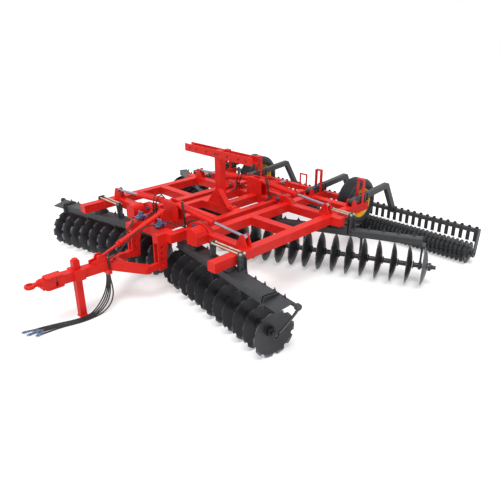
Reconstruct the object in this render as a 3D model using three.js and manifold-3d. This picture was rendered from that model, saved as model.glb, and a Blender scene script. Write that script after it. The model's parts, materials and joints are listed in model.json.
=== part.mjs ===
// A towed, hydraulically folding disc harrow of the X type, as an assembly of named pieces.
// Millimetres, +Z up, floor at z = 0. The machine travels towards -Y; its left side is +X.
import * as THREE from 'three';
import { mergeVertices } from 'three/addons/utils/BufferGeometryUtils.js';
import Module from 'manifold-3d';

const wasm = await Module();
wasm.setup();

// ---------------------------------------------------------------------------------------------
// Driving dimensions
// ---------------------------------------------------------------------------------------------

const MAST_Y = 178.5; // the mast's place along Y, which puts the origin midway between the ends
const GAP = 0.3; // air between two faces that touch on the real machine
const LEFT = 1;
const RIGHT = -1;

const DISC_RADIUS = 305; // 24 inch discs
const DISC_PITCH = 225; // spacing along the axle
const DISC_THICKNESS = 9; // at the hub; the rim is ground to an edge
const DISC_DISH = 75; // how far the rim stands out from the hub
const SPOOL_RADIUS = 38;
const DISC_SIDES = 12;

const FRONT_GANG = { x: 200, y: -1060, angle: 10, discs: 11, dish: DISC_DISH };
const REAR_GANG = { x: 220, y: 365, angle: 23, discs: 14, dish: -DISC_DISH };

const FRAME_TOP = 970; // top face of every box beam of the main frame
const FRAME_BOTTOM = 840;
const RAIL = { inner: 380, outer: 500, front: -1400, rear: 1560 };
const HINGE = { x: 560, z: 1020, pinRadius: 22, stations: [-950, 830] };

const WING = {
  inner: [640, 780], // the two long beams, as X ranges
  outer: [1490, 1630],
  front: -1600,
  innerFront: -1235,
  rear: 1800,
  hinged: [-950, 830], // centres along Y of the cross beams that carry the hinges
  plain: { middle: -30, rear: 1400 }, // centres along Y of the plain cross beams
  crossWidth: 140,
};
const GANG_BEAM = { bottom: 650, top: 750, width: 150 };

const MAST = { side: 120, top: 1740, barHeight: 122, barLength: 1526, plate: 16, foot: 256, gusset: 275 };

const CYLINDER = { bore: 45, rod: 21, base: { x: 105, z: 1205 }, eye: { x: 1490, z: 1100 } };

const DRAWBAR_PIN = { x: 330, y: -1480, z: 500 };
const HITCH = { y: -3180, z: 690 };
const STAND = { y: -2590, side: 90, play: 3 };

const AXLE_PIN = { x: 440, y: 1470, z: 770 };
const WHEEL = { x: 1185, y: 2120, z: 793, radius: 420, width: 290, rimRadius: 262, sides: 20 };

const ROLLER_ARM = { y: 1400, z: 1035, stations: [710, 1560] };
const ROLLER = { y: 2740, radius: 185, tube: 95, inner: 130, outer: 3070, rings: 24 };
const COMB = { y: 2790, z: 572, width: 70, height: 60 };
const SCRAPER = { half: 30, drop: 200 }; // half its width, and how far it hangs

const PAINT = { red: 0xe2211c, charcoal: 0x3a3c3f, disc: 0x26282b, rim: 0xe3b322, tyre: 0x1d1e20 };

const material = (color, roughness, metalness) =>
  new THREE.MeshStandardMaterial({ color, roughness, metalness });
const RED = material(PAINT.red, 0.4, 0.1);
const CHARCOAL = material(PAINT.charcoal, 0.55, 0.3);
const DISC_STEEL = material(PAINT.disc, 0.5, 0.5);
const RIM_YELLOW = material(PAINT.rim, 0.4, 0.1);
const TYRE_RUBBER = material(PAINT.tyre, 0.85, 0);
const CHROME = material(0xd8dade, 0.12, 1);
const HOSE_RUBBER = material(0x18191a, 0.6, 0);
const VALVE_METAL = material(0x8fa3bd, 0.35, 0.8);

// ---------------------------------------------------------------------------------------------
// Shape helpers. Each returns a solid that can be joined or cut.
// ---------------------------------------------------------------------------------------------

const radians = THREE.MathUtils.degToRad;
const point = (x, y, z) => new THREE.Vector3(x, y, z);

/** Turns a closed three.js geometry into a solid. */
function solidOf(geometry) {
  geometry.deleteAttribute('normal');
  geometry.deleteAttribute('uv');
  const merged = mergeVertices(geometry, 1e-3);
  return new wasm.Manifold(new wasm.Mesh({
    numProp: 3,
    vertProperties: Float32Array.from(merged.attributes.position.array),
    triVerts: Uint32Array.from(merged.index.array),
  }));
}

/** Turns a solid back into a three.js geometry. */
function geometryOf(solid) {
  const mesh = solid.asOriginal().simplify(0.02).getMesh();
  const geometry = new THREE.BufferGeometry();
  geometry.setAttribute('position', new THREE.BufferAttribute(mesh.vertProperties, 3));
  geometry.setIndex(new THREE.BufferAttribute(mesh.triVerts, 1));
  geometry.computeVertexNormals();
  return geometry;
}

const join = (solids) => solids.reduce((whole, piece) => whole.add(piece));
const cut = (solid, tools) => tools.reduce((rest, tool) => rest.subtract(tool), solid);

/** A box between two X, two Y and two Z values. */
function block([x0, x1], [y0, y1], [z0, z1]) {
  const box = new THREE.BoxGeometry(x1 - x0, y1 - y0, z1 - z0);
  box.translate((x0 + x1) / 2, (y0 + y1) / 2, (z0 + z1) / 2);
  return solidOf(box);
}

/** A plate cut from an outline, with its first axis along u, its second along v. */
function plate(outline, u, v, centre, thickness) {
  const shape = outline instanceof THREE.Shape ? outline : outlineOf(outline);
  const slab = new THREE.ExtrudeGeometry(shape, {
    depth: thickness, bevelEnabled: false, curveSegments: 3,
  });
  slab.translate(0, 0, -thickness / 2);
  const across = new THREE.Vector3().crossVectors(u, v);
  slab.applyMatrix4(new THREE.Matrix4().makeBasis(u, v, across));
  slab.translate(centre.x, centre.y, centre.z);
  return solidOf(slab);
}

function outlineOf(points) {
  return new THREE.Shape(points.map(([a, b]) => new THREE.Vector2(a, b)));
}

const X = point(1, 0, 0);
const Y = point(0, 1, 0);
const Z = point(0, 0, 1);

/** A plate standing across X: its outline is in Y and Z. */
const plateYZ = (outline, x, thickness) => plate(outline, Y, Z, point(x, 0, 0), thickness);
/** A plate standing across Y: its outline is in X and Z. */
const plateXZ = (outline, y, thickness) => plate(outline, X, Z, point(0, y, 0), thickness);
/** A plate lying flat: its outline is in X and Y. */
const plateXY = (outline, z, thickness) => plate(outline, X, Y, point(0, 0, z), thickness);

/** A round bar from one point to another. */
function rod(from, to, radius, sides = 10) {
  const along = new THREE.Vector3().subVectors(to, from);
  const bar = new THREE.CylinderGeometry(radius, radius, along.length(), sides);
  const turn = new THREE.Quaternion().setFromUnitVectors(Y, along.clone().normalize());
  bar.applyQuaternion(turn);
  const middle = new THREE.Vector3().addVectors(from, to).multiplyScalar(0.5);
  bar.translate(middle.x, middle.y, middle.z);
  return solidOf(bar);
}

/** A box beam from one point to another; width lies across the beam and level. */
function beam(from, to, width, height) {
  const along = new THREE.Vector3().subVectors(to, from);
  const bar = new THREE.BoxGeometry(along.length(), width, height);
  const ahead = along.clone().normalize();
  const level = new THREE.Vector3().crossVectors(Z, ahead).normalize();
  const above = new THREE.Vector3().crossVectors(ahead, level);
  bar.applyMatrix4(new THREE.Matrix4().makeBasis(ahead, level, above));
  const middle = new THREE.Vector3().addVectors(from, to).multiplyScalar(0.5);
  bar.translate(middle.x, middle.y, middle.z);
  return solidOf(bar);
}

/** A solid of revolution about X. The profile lists radius and place along X. */
function turned(profile, sides) {
  const lathe = new THREE.LatheGeometry(
    profile.map(([radius, along]) => new THREE.Vector2(radius, along)), sides);
  lathe.rotateZ(-Math.PI / 2);
  return solidOf(lathe);
}

/** The same solid on the other side of the machine. */
const mirrored = (solid) => solid.mirror([1, 0, 0]);
const onSide = (solid, side) => (side === LEFT ? solid : mirrored(solid));
const sideName = (side) => (side === LEFT ? 'left' : 'right');

/** A named mesh of one solid. */
function part(name, solid, finish) {
  const mesh = new THREE.Mesh(geometryOf(solid), finish);
  mesh.name = name;
  return mesh;
}

// ---------------------------------------------------------------------------------------------
// Chassis: centre frame, cylinder posts, wing rest mast and valve blocks
// ---------------------------------------------------------------------------------------------

const HINGE_EAR = { thickness: 24, offset: 58, radius: 62 }; // two ears beside each station

/** One ear of the centre frame: a plate from the rail's side out to the hinge pin. */
function centreEar(y) {
  const outline = outlineOf([[RAIL.outer - 40, FRAME_BOTTOM + 20], [RAIL.outer, FRAME_BOTTOM + 20]]);
  outline.lineTo(HINGE.x + HINGE_EAR.radius, HINGE.z - 30);
  outline.absarc(HINGE.x, HINGE.z, HINGE_EAR.radius, radians(-28), radians(115), false);
  outline.lineTo(RAIL.outer - 120, FRAME_TOP + 30);
  outline.lineTo(RAIL.outer - 120, FRAME_TOP - 30);
  outline.closePath();
  return plateXZ(outline, y, HINGE_EAR.thickness);
}

/** The centre frame's cross beams, as ranges along Y. */
const CROSS_BEAMS = [[-1400, -1260], [-550, -410], [-75, 75], [760, 905], [1060, 1140]];
const REAR_SPINE = { half: 75, along: [70, 765] }; // the beam on the centre line, behind the mast

function centreFrame() {
  const pieces = [];
  for (const side of [LEFT, RIGHT]) {
    pieces.push(onSide(block([RAIL.inner, RAIL.outer], [RAIL.front, RAIL.rear],
      [FRAME_BOTTOM, FRAME_TOP]), side));
    for (const station of HINGE.stations) {
      for (const offset of [-HINGE_EAR.offset, HINGE_EAR.offset]) {
        pieces.push(onSide(centreEar(station + offset), side));
      }
      pieces.push(onSide(rod(point(HINGE.x, station - 85, HINGE.z),
        point(HINGE.x, station + 85, HINGE.z), HINGE.pinRadius), side));
    }
    pieces.push(onSide(frontBracket(), side));
    pieces.push(onSide(axleLug(), side));
  }
  for (const [from, to] of CROSS_BEAMS) {
    pieces.push(block([-RAIL.inner - 20, RAIL.inner + 20], [from, to],
      [FRAME_BOTTOM, FRAME_TOP]));
  }
  pieces.push(block([-REAR_SPINE.half, REAR_SPINE.half], REAR_SPINE.along,
    [FRAME_BOTTOM, FRAME_TOP]));
  pieces.push(levellingLug());
  pieces.push(liftCylinderLug());
  return join(pieces);
}

/** The plate at the frame's front corner, with the row of holes that sets the drawbar's height. */
function frontBracket() {
  const { y, z, x } = DRAWBAR_PIN;
  const outline = outlineOf([[y - 70, z - 60], [y + 60, z - 60], [RAIL.front - 2, 700],
    [RAIL.front + 60, FRAME_BOTTOM + 10], [RAIL.front + 60, FRAME_TOP], [RAIL.front - 120, FRAME_TOP],
    [y - 70, 800]]);
  const plates = [-50, 50].map((offset) => plateYZ(outline, x + offset, 20));
  const web = block([x - 60, x + 60], [y - 70, RAIL.front + 20], [FRAME_BOTTOM, FRAME_TOP]);
  const holes = [600, 690, 780].map((height) =>
    rod(point(x - 90, y - 5, height), point(x + 90, y - 5, height), 20, 8));
  const pin = rod(point(x - 75, y, z), point(x + 75, y, z), 20, 12);
  return cut(join([...plates, web]), holes).add(pin);
}

/** Two plates under the rail's rear end that carry the transport axle's pin. */
function axleLug() {
  const { y, z } = AXLE_PIN;
  const outline = outlineOf([[y - 120, FRAME_BOTTOM + 10], [y - 60, z - 30]]);
  outline.absarc(y, z, 62, radians(220), radians(335), false);
  outline.lineTo(y + 90, FRAME_BOTTOM + 10);
  outline.closePath();
  const cheeks = [-56, 56].map((offset) => plateYZ(outline, AXLE_PIN.x + offset, 16));
  const pin = rod(point(AXLE_PIN.x - 75, y, z), point(AXLE_PIN.x + 75, y, z), 22, 12);
  return join([...cheeks, pin]);
}

/** Two plates over the front cross beam, for the levelling link's upper pin. */
const LINK_TOP = { y: -1150, z: 1130 };
function levellingLug() {
  const outline = outlineOf([[-1290, FRAME_TOP - 10], [LINK_TOP.y - 45, LINK_TOP.z + 10]]);
  outline.absarc(LINK_TOP.y, LINK_TOP.z, 45, radians(150), radians(0), true);
  outline.lineTo(-1040, FRAME_TOP - 10);
  outline.closePath();
  const cheeks = [-52, 52].map((x) => plateYZ(outline, x, 18));
  const seat = block([-70, 70], [-1290, -1000], [FRAME_BOTTOM, FRAME_TOP]);
  const spine = block([-60, 60], [-1290, -480], [FRAME_BOTTOM, FRAME_TOP]);
  const pin = rod(point(-60, LINK_TOP.y, LINK_TOP.z), point(60, LINK_TOP.y, LINK_TOP.z), 15, 10);
  return join([...cheeks, seat, spine, pin]);
}

/** Two plates behind the rear cross beam, for the lift cylinder's base. */
const LIFT_BASE = { y: 965, z: 1110 };
const LIFT_EYE = { y: AXLE_PIN.y + 100, z: AXLE_PIN.z + 250 };
function liftCylinderLug() {
  const outline = outlineOf([[912, FRAME_TOP - 30], [LIFT_BASE.y - 42, LIFT_BASE.z]]);
  outline.absarc(LIFT_BASE.y, LIFT_BASE.z, 42, radians(180), radians(0), true);
  outline.lineTo(1075, FRAME_TOP - 20);
  outline.lineTo(1075, FRAME_TOP - 60);
  outline.lineTo(895, FRAME_TOP - 60);
  outline.lineTo(895, FRAME_TOP - 30);
  outline.closePath();
  const cheeks = [-54, 54].map((x) => plateYZ(outline, x, 16));
  const pin = rod(point(-62, LIFT_BASE.y, LIFT_BASE.z), point(62, LIFT_BASE.y, LIFT_BASE.z), 16, 10);
  return join([...cheeks, pin]);
}

/** Front and rear posts: two plates across the frame with the fold cylinders' pins between. */
function cylinderPost(station) {
  const { x, z } = CYLINDER.base;
  const outline = outlineOf([[-175, FRAME_TOP + GAP], [175, FRAME_TOP + GAP], [175, z - 30]]);
  outline.absarc(x, z, 52, radians(-20), radians(90), false);
  outline.absarc(-x, z, 52, radians(90), radians(200), false);
  outline.closePath();
  const plates = [-62, 62].map((offset) => plateXZ(outline, station + offset, 18));
  const web = block([-40, 40], [station - 58, station + 58], [FRAME_TOP + GAP, z - 70]);
  const pins = [-x, x].map((at) =>
    rod(point(at, station - 82, z), point(at, station + 82, z), 17, 10));
  return join([...plates, web, ...pins]);
}

function wingRestMast() {
  const half = MAST.side / 2;
  const foot = FRAME_TOP + GAP;
  const barBottom = MAST.top;
  const barTop = MAST.top + MAST.barHeight;
  const post = block([-half, half], [-half, half], [foot, barTop - 10]);
  const bars = [-1, 1].map((face) => {
    const y = face * (half + MAST.plate / 2 - 1);
    const tips = MAST.barLength / 2;
    return block([-tips, tips], [y - MAST.plate / 2, y + MAST.plate / 2], [barBottom, barTop]);
  });
  const endCaps = [-1, 1].map((end) => {
    const x = end * (MAST.barLength / 2 - 120);
    return block([x - 9, x + 9], [-half - 2, half + 2], [barBottom + 12, barTop - 12]);
  });
  const base = block([-MAST.foot, MAST.foot], [-68, 68], [foot, foot + 18]);
  const gusset = plateXZ([[-MAST.foot + 6, foot + 10], [MAST.foot - 66, foot + 10],
    [half - 5, foot + MAST.gusset], [-half + 5, foot + MAST.gusset]], -half + 9, 18);
  const brace = beam(point(40, -half, foot + MAST.gusset), point(262, -half, foot + 18), 96, 30);
  const bracePad = block([180, 300], [-half - 40, 68], [foot, foot + 18]);
  return join([post, ...bars, ...endCaps, base, gusset, brace, bracePad]);
}

/** A hydraulic valve block with two round ports. */
function valveBlock(x, y) {
  const z = FRAME_TOP + GAP;
  const stem = block([x - 20, x + 20], [y - 20, y + 20], [z, z + 30]);
  const body = block([x - 45, x + 45], [y - 35, y + 35], [z + 28, z + 95]);
  const ports = [-20, 20].map((offset) =>
    rod(point(x + offset, y - 62, z + 62), point(x + offset, y + 62, z + 62), 13, 8));
  return join([stem, body, ...ports]);
}

// ---------------------------------------------------------------------------------------------
// Drawbar, hitch, parking stand and levelling link
// ---------------------------------------------------------------------------------------------

const APEX = { y: -2130, z: 610 };
const HOSE_CLIP_BOTTOM = 505; // the hoses leave the clip here, straight down
const BEAM_FRONT = { y: -2850, z: 640 };
const BEAM_SECTION = { width: 130, height: 130 };
const LINK_BOTTOM = { y: -2240, z: 745 };

function drawbar() {
  const spine = beam(point(0, BEAM_FRONT.y, BEAM_FRONT.z), point(0, APEX.y + 60, APEX.z),
    BEAM_SECTION.width, BEAM_SECTION.height);
  const arms = [LEFT, RIGHT].map((side) => {
    const elbow = point(side * 325, DRAWBAR_PIN.y - 215, DRAWBAR_PIN.z - 12);
    const first = beam(point(side * 20, APEX.y, APEX.z), elbow, 90, 120);
    const knuckle = rod(point(elbow.x - side * 40, elbow.y, elbow.z),
      point(elbow.x + side * 40, elbow.y, elbow.z), 58, 12);
    const second = beam(elbow, point(side * DRAWBAR_PIN.x, DRAWBAR_PIN.y - 20, DRAWBAR_PIN.z), 68, 90);
    const eye = rod(point(side * (DRAWBAR_PIN.x - 34), DRAWBAR_PIN.y, DRAWBAR_PIN.z),
      point(side * (DRAWBAR_PIN.x + 34), DRAWBAR_PIN.y, DRAWBAR_PIN.z), 50, 14);
    const bore = rod(point(side * (DRAWBAR_PIN.x - 60), DRAWBAR_PIN.y, DRAWBAR_PIN.z),
      point(side * (DRAWBAR_PIN.x + 60), DRAWBAR_PIN.y, DRAWBAR_PIN.z), 24, 12);
    return cut(join([first, knuckle, second, eye]), [bore]);
  });
  const tie = beam(point(-150, APEX.y + 200, 582), point(150, APEX.y + 200, 582), 70, 60);
  const lugs = [-45, 45].map((x) => plateYZ([[-2380, 670], [-2130, 650], [-2150, 745],
    [-2205, 800], [-2275, 800], [-2300, 745], [-2380, 735]], x, 18));
  const slotHalf = STAND.side / 2 + STAND.play;
  const slot = block([-slotHalf, slotHalf], [STAND.y - slotHalf, STAND.y + slotHalf], [400, 900]);
  const collar = cut(block([-105, 105], [STAND.y - 75, STAND.y + 75], [560, 705]), [slot]);
  const clevis = [-1, 1].map((face) => plateXY([[-70, -2800], [70, -2800], [70, -3000],
    [45, -3030], [-45, -3030], [-70, -3000]], BEAM_FRONT.z + face * 76, 22));
  const clevisWeb = block([-60, 60], [-2870, -2800], [BEAM_FRONT.z - 80, BEAM_FRONT.z + 80]);
  const hoseClip = block([-26, 108], [-2190, -2130], [HOSE_CLIP_BOTTOM, 565]);
  return join([cut(spine, [slot]), ...arms, tie, ...lugs, collar, ...clevis, clevisWeb,
    hoseClip]);
}

/** The block pinned in the clevis, with a bore along the drawbar for the ring's shank. */
function swivelHousing() {
  const z = BEAM_FRONT.z;
  const body = block([-62, 62], [-3075, -2905], [z - 62, z + 62]);
  const nose = rod(point(0, -3090, HITCH.z - 20), point(0, -3036, HITCH.z - 20), 55, 16);
  const bore = rod(point(0, -3200, HITCH.z - 20), point(0, -2950, HITCH.z - 20), 31, 16);
  return cut(join([body, nose]), [bore]);
}

/** The hitch ring with the shank that turns in the housing. */
function hitchRing() {
  const z = HITCH.z - 20;
  const ring = new THREE.LatheGeometry([[36, -22], [62, -22], [72, 0], [62, 22], [36, 22], [36, -22]]
    .map(([radius, along]) => new THREE.Vector2(radius, along)), 20);
  ring.rotateX(Math.PI / 2);
  ring.translate(0, HITCH.y - 30, z);
  const neck = beam(point(0, HITCH.y + 30, z), point(0, -3105, z), 60, 44);
  const flange = rod(point(0, -3112, z), point(0, -3092, z), 48, 16);
  const shank = rod(point(0, -3100, z), point(0, -2960, z), 28, 16);
  return join([solidOf(ring), neck, flange, shank]);
}

function parkingStand() {
  const half = STAND.side / 2;
  const tube = block([-half, half], [STAND.y - half, STAND.y + half], [10, 830]);
  const cap = rod(point(0, STAND.y, 820), point(0, STAND.y, 850), 40, 12);
  const foot = block([-55, 55], [STAND.y - 55, STAND.y + 55], [0, 14]);
  return join([tube, cap, foot]);
}

/** Where the levelling link's tube ends and its screwed rod begins. */
const LINK_START = point(0, LINK_TOP.y, LINK_TOP.z);
const LINK_END = point(0, LINK_BOTTOM.y, LINK_BOTTOM.z);
const alongLink = (share) => new THREE.Vector3().lerpVectors(LINK_START, LINK_END, share);

function levellingTube() {
  const eye = rod(point(-38, LINK_TOP.y, LINK_TOP.z), point(38, LINK_TOP.y, LINK_TOP.z), 40, 14);
  const tube = rod(LINK_START, alongLink(0.7), 38, 14);
  const bore = rod(alongLink(0.2), alongLink(0.75), 24, 12);
  const pinHole = rod(point(-60, LINK_TOP.y, LINK_TOP.z), point(60, LINK_TOP.y, LINK_TOP.z), 18, 12);
  return cut(join([eye, tube]), [bore, pinHole]);
}

function levellingRod() {
  const eye = rod(point(-32, LINK_BOTTOM.y, LINK_BOTTOM.z), point(32, LINK_BOTTOM.y, LINK_BOTTOM.z),
    36, 14);
  return join([rod(LINK_END, alongLink(0.32), 20, 12), eye]);
}

// ---------------------------------------------------------------------------------------------
// Wings: frame, gang beams, disc gangs and fold cylinders
// ---------------------------------------------------------------------------------------------

/** One hinge plate of the wing, arched over the pin between the centre frame's ears. */
function wingEar(y) {
  const outline = outlineOf([[WING.inner[0], FRAME_BOTTOM + 10], [WING.inner[0], HINGE.z - 70]]);
  outline.lineTo(HINGE.x + 10, HINGE.z - 55);
  outline.absarc(HINGE.x, HINGE.z, 56, radians(-80), radians(90), true);
  outline.quadraticCurveTo(WING.inner[1] - 20, HINGE.z + 85, 850, FRAME_TOP - 5);
  outline.lineTo(850, FRAME_BOTTOM + 10);
  outline.closePath();
  const bore = rod(point(HINGE.x, y - 60, HINGE.z), point(HINGE.x, y + 60, HINGE.z),
    HINGE.pinRadius + 3, 14);
  return cut(plateXZ(outline, y, 80), [bore]);
}

/** The arched housing that stiffens the inner wing beam ahead of the front hinge. */
const HOUSING = { front: -1235, rear: -1030, crown: 1080 };
function hingeHousing() {
  const [inner, outer] = [WING.inner[0], WING.inner[1] + 70];
  const outline = outlineOf([[inner, FRAME_BOTTOM + 10], [inner, HINGE.z - 20]]);
  outline.quadraticCurveTo(inner + 10, HOUSING.crown, inner + 80, HOUSING.crown);
  outline.quadraticCurveTo(outer - 20, HOUSING.crown, outer, FRAME_TOP);
  outline.lineTo(outer, FRAME_BOTTOM + 10);
  outline.closePath();
  return plateXZ(outline, (HOUSING.front + HOUSING.rear) / 2, HOUSING.rear - HOUSING.front);
}

/** Two plates on a cross beam's outer end, for the eye of a fold cylinder's rod. */
function rodLug(station) {
  const { x, z } = CYLINDER.eye;
  const outline = outlineOf([[x - 120, FRAME_TOP - 10], [x - 42, z + 10]]);
  outline.absarc(x, z, 42, radians(170), radians(10), true);
  outline.lineTo(x + 90, FRAME_TOP - 10);
  outline.closePath();
  return join([-44, 44].map((offset) => plateXZ(outline, station + offset, 18)));
}

/** A slim upright of two cheeks and a cap, in which a roller arm rises and falls. */
const GUIDE = { y: 1640, halfDepth: 32, inner: 46, outer: 58, top: 1370, cap: 18 };
function rollerGuide(x) {
  const depth = [GUIDE.y - GUIDE.halfDepth, GUIDE.y + GUIDE.halfDepth];
  const cheeks = [LEFT, RIGHT].map((face) => {
    const [near, far] = [x + face * GUIDE.inner, x + face * GUIDE.outer];
    return block([Math.min(near, far), Math.max(near, far)], depth, [FRAME_BOTTOM + 5, GUIDE.top]);
  });
  const cap = block([x - GUIDE.outer, x + GUIDE.outer], depth, [GUIDE.top - GUIDE.cap, GUIDE.top]);
  return join([...cheeks, cap]);
}

function wingFrame(side) {
  const pieces = [];
  const level = [FRAME_BOTTOM, FRAME_TOP];
  pieces.push(block(WING.inner, [WING.innerFront, WING.rear], level));
  pieces.push(block(WING.outer, [WING.front, WING.rear], level));
  for (const y of WING.hinged) {
    const reach = y === HINGE.stations[1] ? 1790 : WING.outer[1] - 10;
    pieces.push(block([WING.inner[0] + 10, reach], [y - WING.crossWidth / 2, y + WING.crossWidth / 2],
      level));
  }
  for (const station of HINGE.stations) {
    pieces.push(wingEar(station), rodLug(station));
  }
  pieces.push(hingeHousing());
  for (const x of ROLLER_ARM.stations) {
    pieces.push(armClevis(x), rollerGuide(x));
  }
  return onSide(join(pieces), side);
}

/** A plain cross beam, welded between the wing's two long beams. */
function wingCrossBeam(y, side) {
  const half = WING.crossWidth / 2;
  const across = [WING.inner[1] + GAP, WING.outer[0] - GAP];
  return onSide(block(across, [y - half, y + half], [FRAME_BOTTOM, FRAME_TOP]), side);
}

/** The frame of a gang's own: x along the axle from the inner disc, turned to the gang's angle. */
function gangPlace(gang, side) {
  const place = new THREE.Group();
  place.position.set(side * gang.x, gang.y, 0);
  const heading = gang === FRONT_GANG ? -gang.angle : gang.angle;
  place.rotation.z = radians(side === LEFT ? heading : 180 - heading);
  return place;
}

/** All the discs of a gang with their axle, as one solid that turns. */
const AXLE_NUT = { radius: 34, from: -75, to: -40 };
const AXLE_STUB = { radius: 30, from: 60, to: 118 }; // past the outer disc's hub
function discGang(gang) {
  const length = (gang.discs - 1) * DISC_PITCH;
  const profile = [[0, AXLE_NUT.from], [AXLE_NUT.radius, AXLE_NUT.from], [AXLE_NUT.radius, AXLE_NUT.to],
    [SPOOL_RADIUS, AXLE_NUT.to]];
  const half = DISC_THICKNESS / 2;
  for (let index = 0; index < gang.discs; index += 1) {
    const hub = index * DISC_PITCH;
    const rim = hub + gang.dish;
    profile.push([SPOOL_RADIUS, hub - half], [DISC_RADIUS, rim], [SPOOL_RADIUS, hub + half]);
  }
  const [shoulder, tip] = [length + AXLE_STUB.from, length + AXLE_STUB.to];
  profile.push([SPOOL_RADIUS, shoulder], [AXLE_STUB.radius, shoulder], [AXLE_STUB.radius, tip], [0, tip]);
  return turned(profile, DISC_SIDES).translate([0, 0, DISC_RADIUS]);
}

const BEARING = { radius: 62, bore: 42, width: 44 };

/** A hanger from the gang beam down to a bearing round the axle, at a place along the axle. */
function hanger(at) {
  const outline = outlineOf([[-60, GANG_BEAM.bottom + 10], [-40, 480]]);
  outline.lineTo(-50, DISC_RADIUS + 20);
  outline.absarc(0, DISC_RADIUS, BEARING.radius, radians(165), radians(375), false);
  outline.lineTo(45, 480);
  outline.lineTo(60, GANG_BEAM.bottom + 10);
  outline.closePath();
  const bore = rod(point(at - 60, 0, DISC_RADIUS), point(at + 60, 0, DISC_RADIUS), BEARING.bore, 16);
  return cut(plateYZ(outline, at, BEARING.width), [bore]);
}

/** The slim arm that curves from the rear of a front gang beam's end down to the outer hub. */
const END_ARM = { ring: 56, thickness: 24 };
function endArm(at) {
  const outline = outlineOf([[30, GANG_BEAM.bottom + 10], [70, GANG_BEAM.top - 10]]);
  outline.quadraticCurveTo(150, 500, 50, DISC_RADIUS + 20);
  outline.absarc(0, DISC_RADIUS, END_ARM.ring, radians(20), radians(-235), true);
  outline.quadraticCurveTo(75, 500, 30, GANG_BEAM.bottom + 10);
  outline.closePath();
  const bore = rod(point(at - 60, 0, DISC_RADIUS), point(at + 60, 0, DISC_RADIUS), BEARING.bore, 16);
  return cut(plateYZ(outline, at, END_ARM.thickness), [bore]);
}

/** The box beam over a gang, in the gang's own frame. */
function gangBeam(from, to, hangers, slimEnd) {
  const half = GANG_BEAM.width / 2;
  const tube = block([from, to], [-half, half], [GANG_BEAM.bottom, GANG_BEAM.top]);
  const last = hangers.length - 1;
  const arms = hangers.map((at, index) =>
    (slimEnd && index === last ? endArm(at) : hanger(at)));
  return join([tube, ...arms]);
}

/** The saddle that holds a gang beam under a wing beam, in the machine's frame. */
function saddle(x, y) {
  return block([x - 65, x + 65], [y - 60, y + 60], [GANG_BEAM.top - 10, FRAME_BOTTOM - GAP]);
}

const GANG_MOUNTS = {
  front: { gang: FRONT_GANG, beam: [130, 2410], hangers: [112, 1012, 1687, 2356],
    saddles: [[710, -1150], [1560, -1300]], rods: { plateX: 1650, y: -1185, anchorX: 1130 } },
  rear: { gang: REAR_GANG, beam: [100, 2800], hangers: [112, 1012, 1912, 2812],
    saddles: [[710, 573], [1560, 934]], rods: { plateX: 1812, y: 1010, anchorX: 1448 } },
};

/** The clamp plate beside the wing's outer end, with two tie rods back over the gang beam. */
function tieRods(end, side) {
  const { plateX, y, anchorX } = GANG_MOUNTS[end].rods;
  const foot = GANG_BEAM.top + GAP;
  const clamp = block([plateX, plateX + 26], [y - 62, y + 62], [foot, 1018]);
  const rods = [-34, 34].map((offset) =>
    rod(point(anchorX, y + offset, 992), point(plateX + 40, y + offset, 992), 11, 8));
  const anchor = block([anchorX - 14, anchorX + 14], [y - 50, y + 50], [foot, 1010]);
  return onSide(join([clamp, ...rods, anchor]), side);
}

/** Gang beam, hangers and saddles, as one welded and bolted piece in the machine's frame. */
function gangCarrier(end, side) {
  const { gang, beam: [from, to], hangers, saddles } = GANG_MOUNTS[end];
  const heading = gang === FRONT_GANG ? -gang.angle : gang.angle;
  const placed = gangBeam(from, to, hangers, gang === FRONT_GANG).rotate([0, 0, heading])
    .translate([gang.x, gang.y, 0]);
  return onSide(join([placed, ...saddles.map(([x, y]) => saddle(x, y))]), side);
}

/** A point of a fold cylinder, at a distance from its base towards its rod's eye. */
function cylinderPoint(station, distance) {
  const base = point(CYLINDER.base.x, station, CYLINDER.base.z);
  const eye = point(CYLINDER.eye.x, station, CYLINDER.eye.z);
  const along = eye.clone().sub(base).normalize();
  return base.addScaledVector(along, distance);
}

const FOLD_LENGTH = Math.hypot(CYLINDER.eye.x - CYLINDER.base.x, CYLINDER.eye.z - CYLINDER.base.z);
const BARREL = { length: 800, boreFrom: 150 };
const ROD_LENGTH = 720;

function foldBarrel(station, side) {
  const { x, z } = CYLINDER.base;
  const eye = rod(point(x, station - 46, z), point(x, station + 46, z), 42, 14);
  const tube = rod(cylinderPoint(station, 20), cylinderPoint(station, BARREL.length), CYLINDER.bore, 12);
  const bore = rod(cylinderPoint(station, BARREL.boreFrom), cylinderPoint(station, BARREL.length + 20),
    CYLINDER.rod + 4, 12);
  const pinHole = rod(point(x, station - 70, z), point(x, station + 70, z), 20, 12);
  return onSide(cut(join([eye, tube]), [bore, pinHole]), side);
}

function foldRod(station, side) {
  const { x, z } = CYLINDER.eye;
  const eye = rod(point(x, station - 29, z), point(x, station + 29, z), 36, 14);
  const bar = rod(cylinderPoint(station, FOLD_LENGTH - ROD_LENGTH), cylinderPoint(station, FOLD_LENGTH),
    CYLINDER.rod, 12);
  return onSide(join([eye, bar]), side);
}

// ---------------------------------------------------------------------------------------------
// Transport axle, wheels and lift cylinder
// ---------------------------------------------------------------------------------------------

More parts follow.
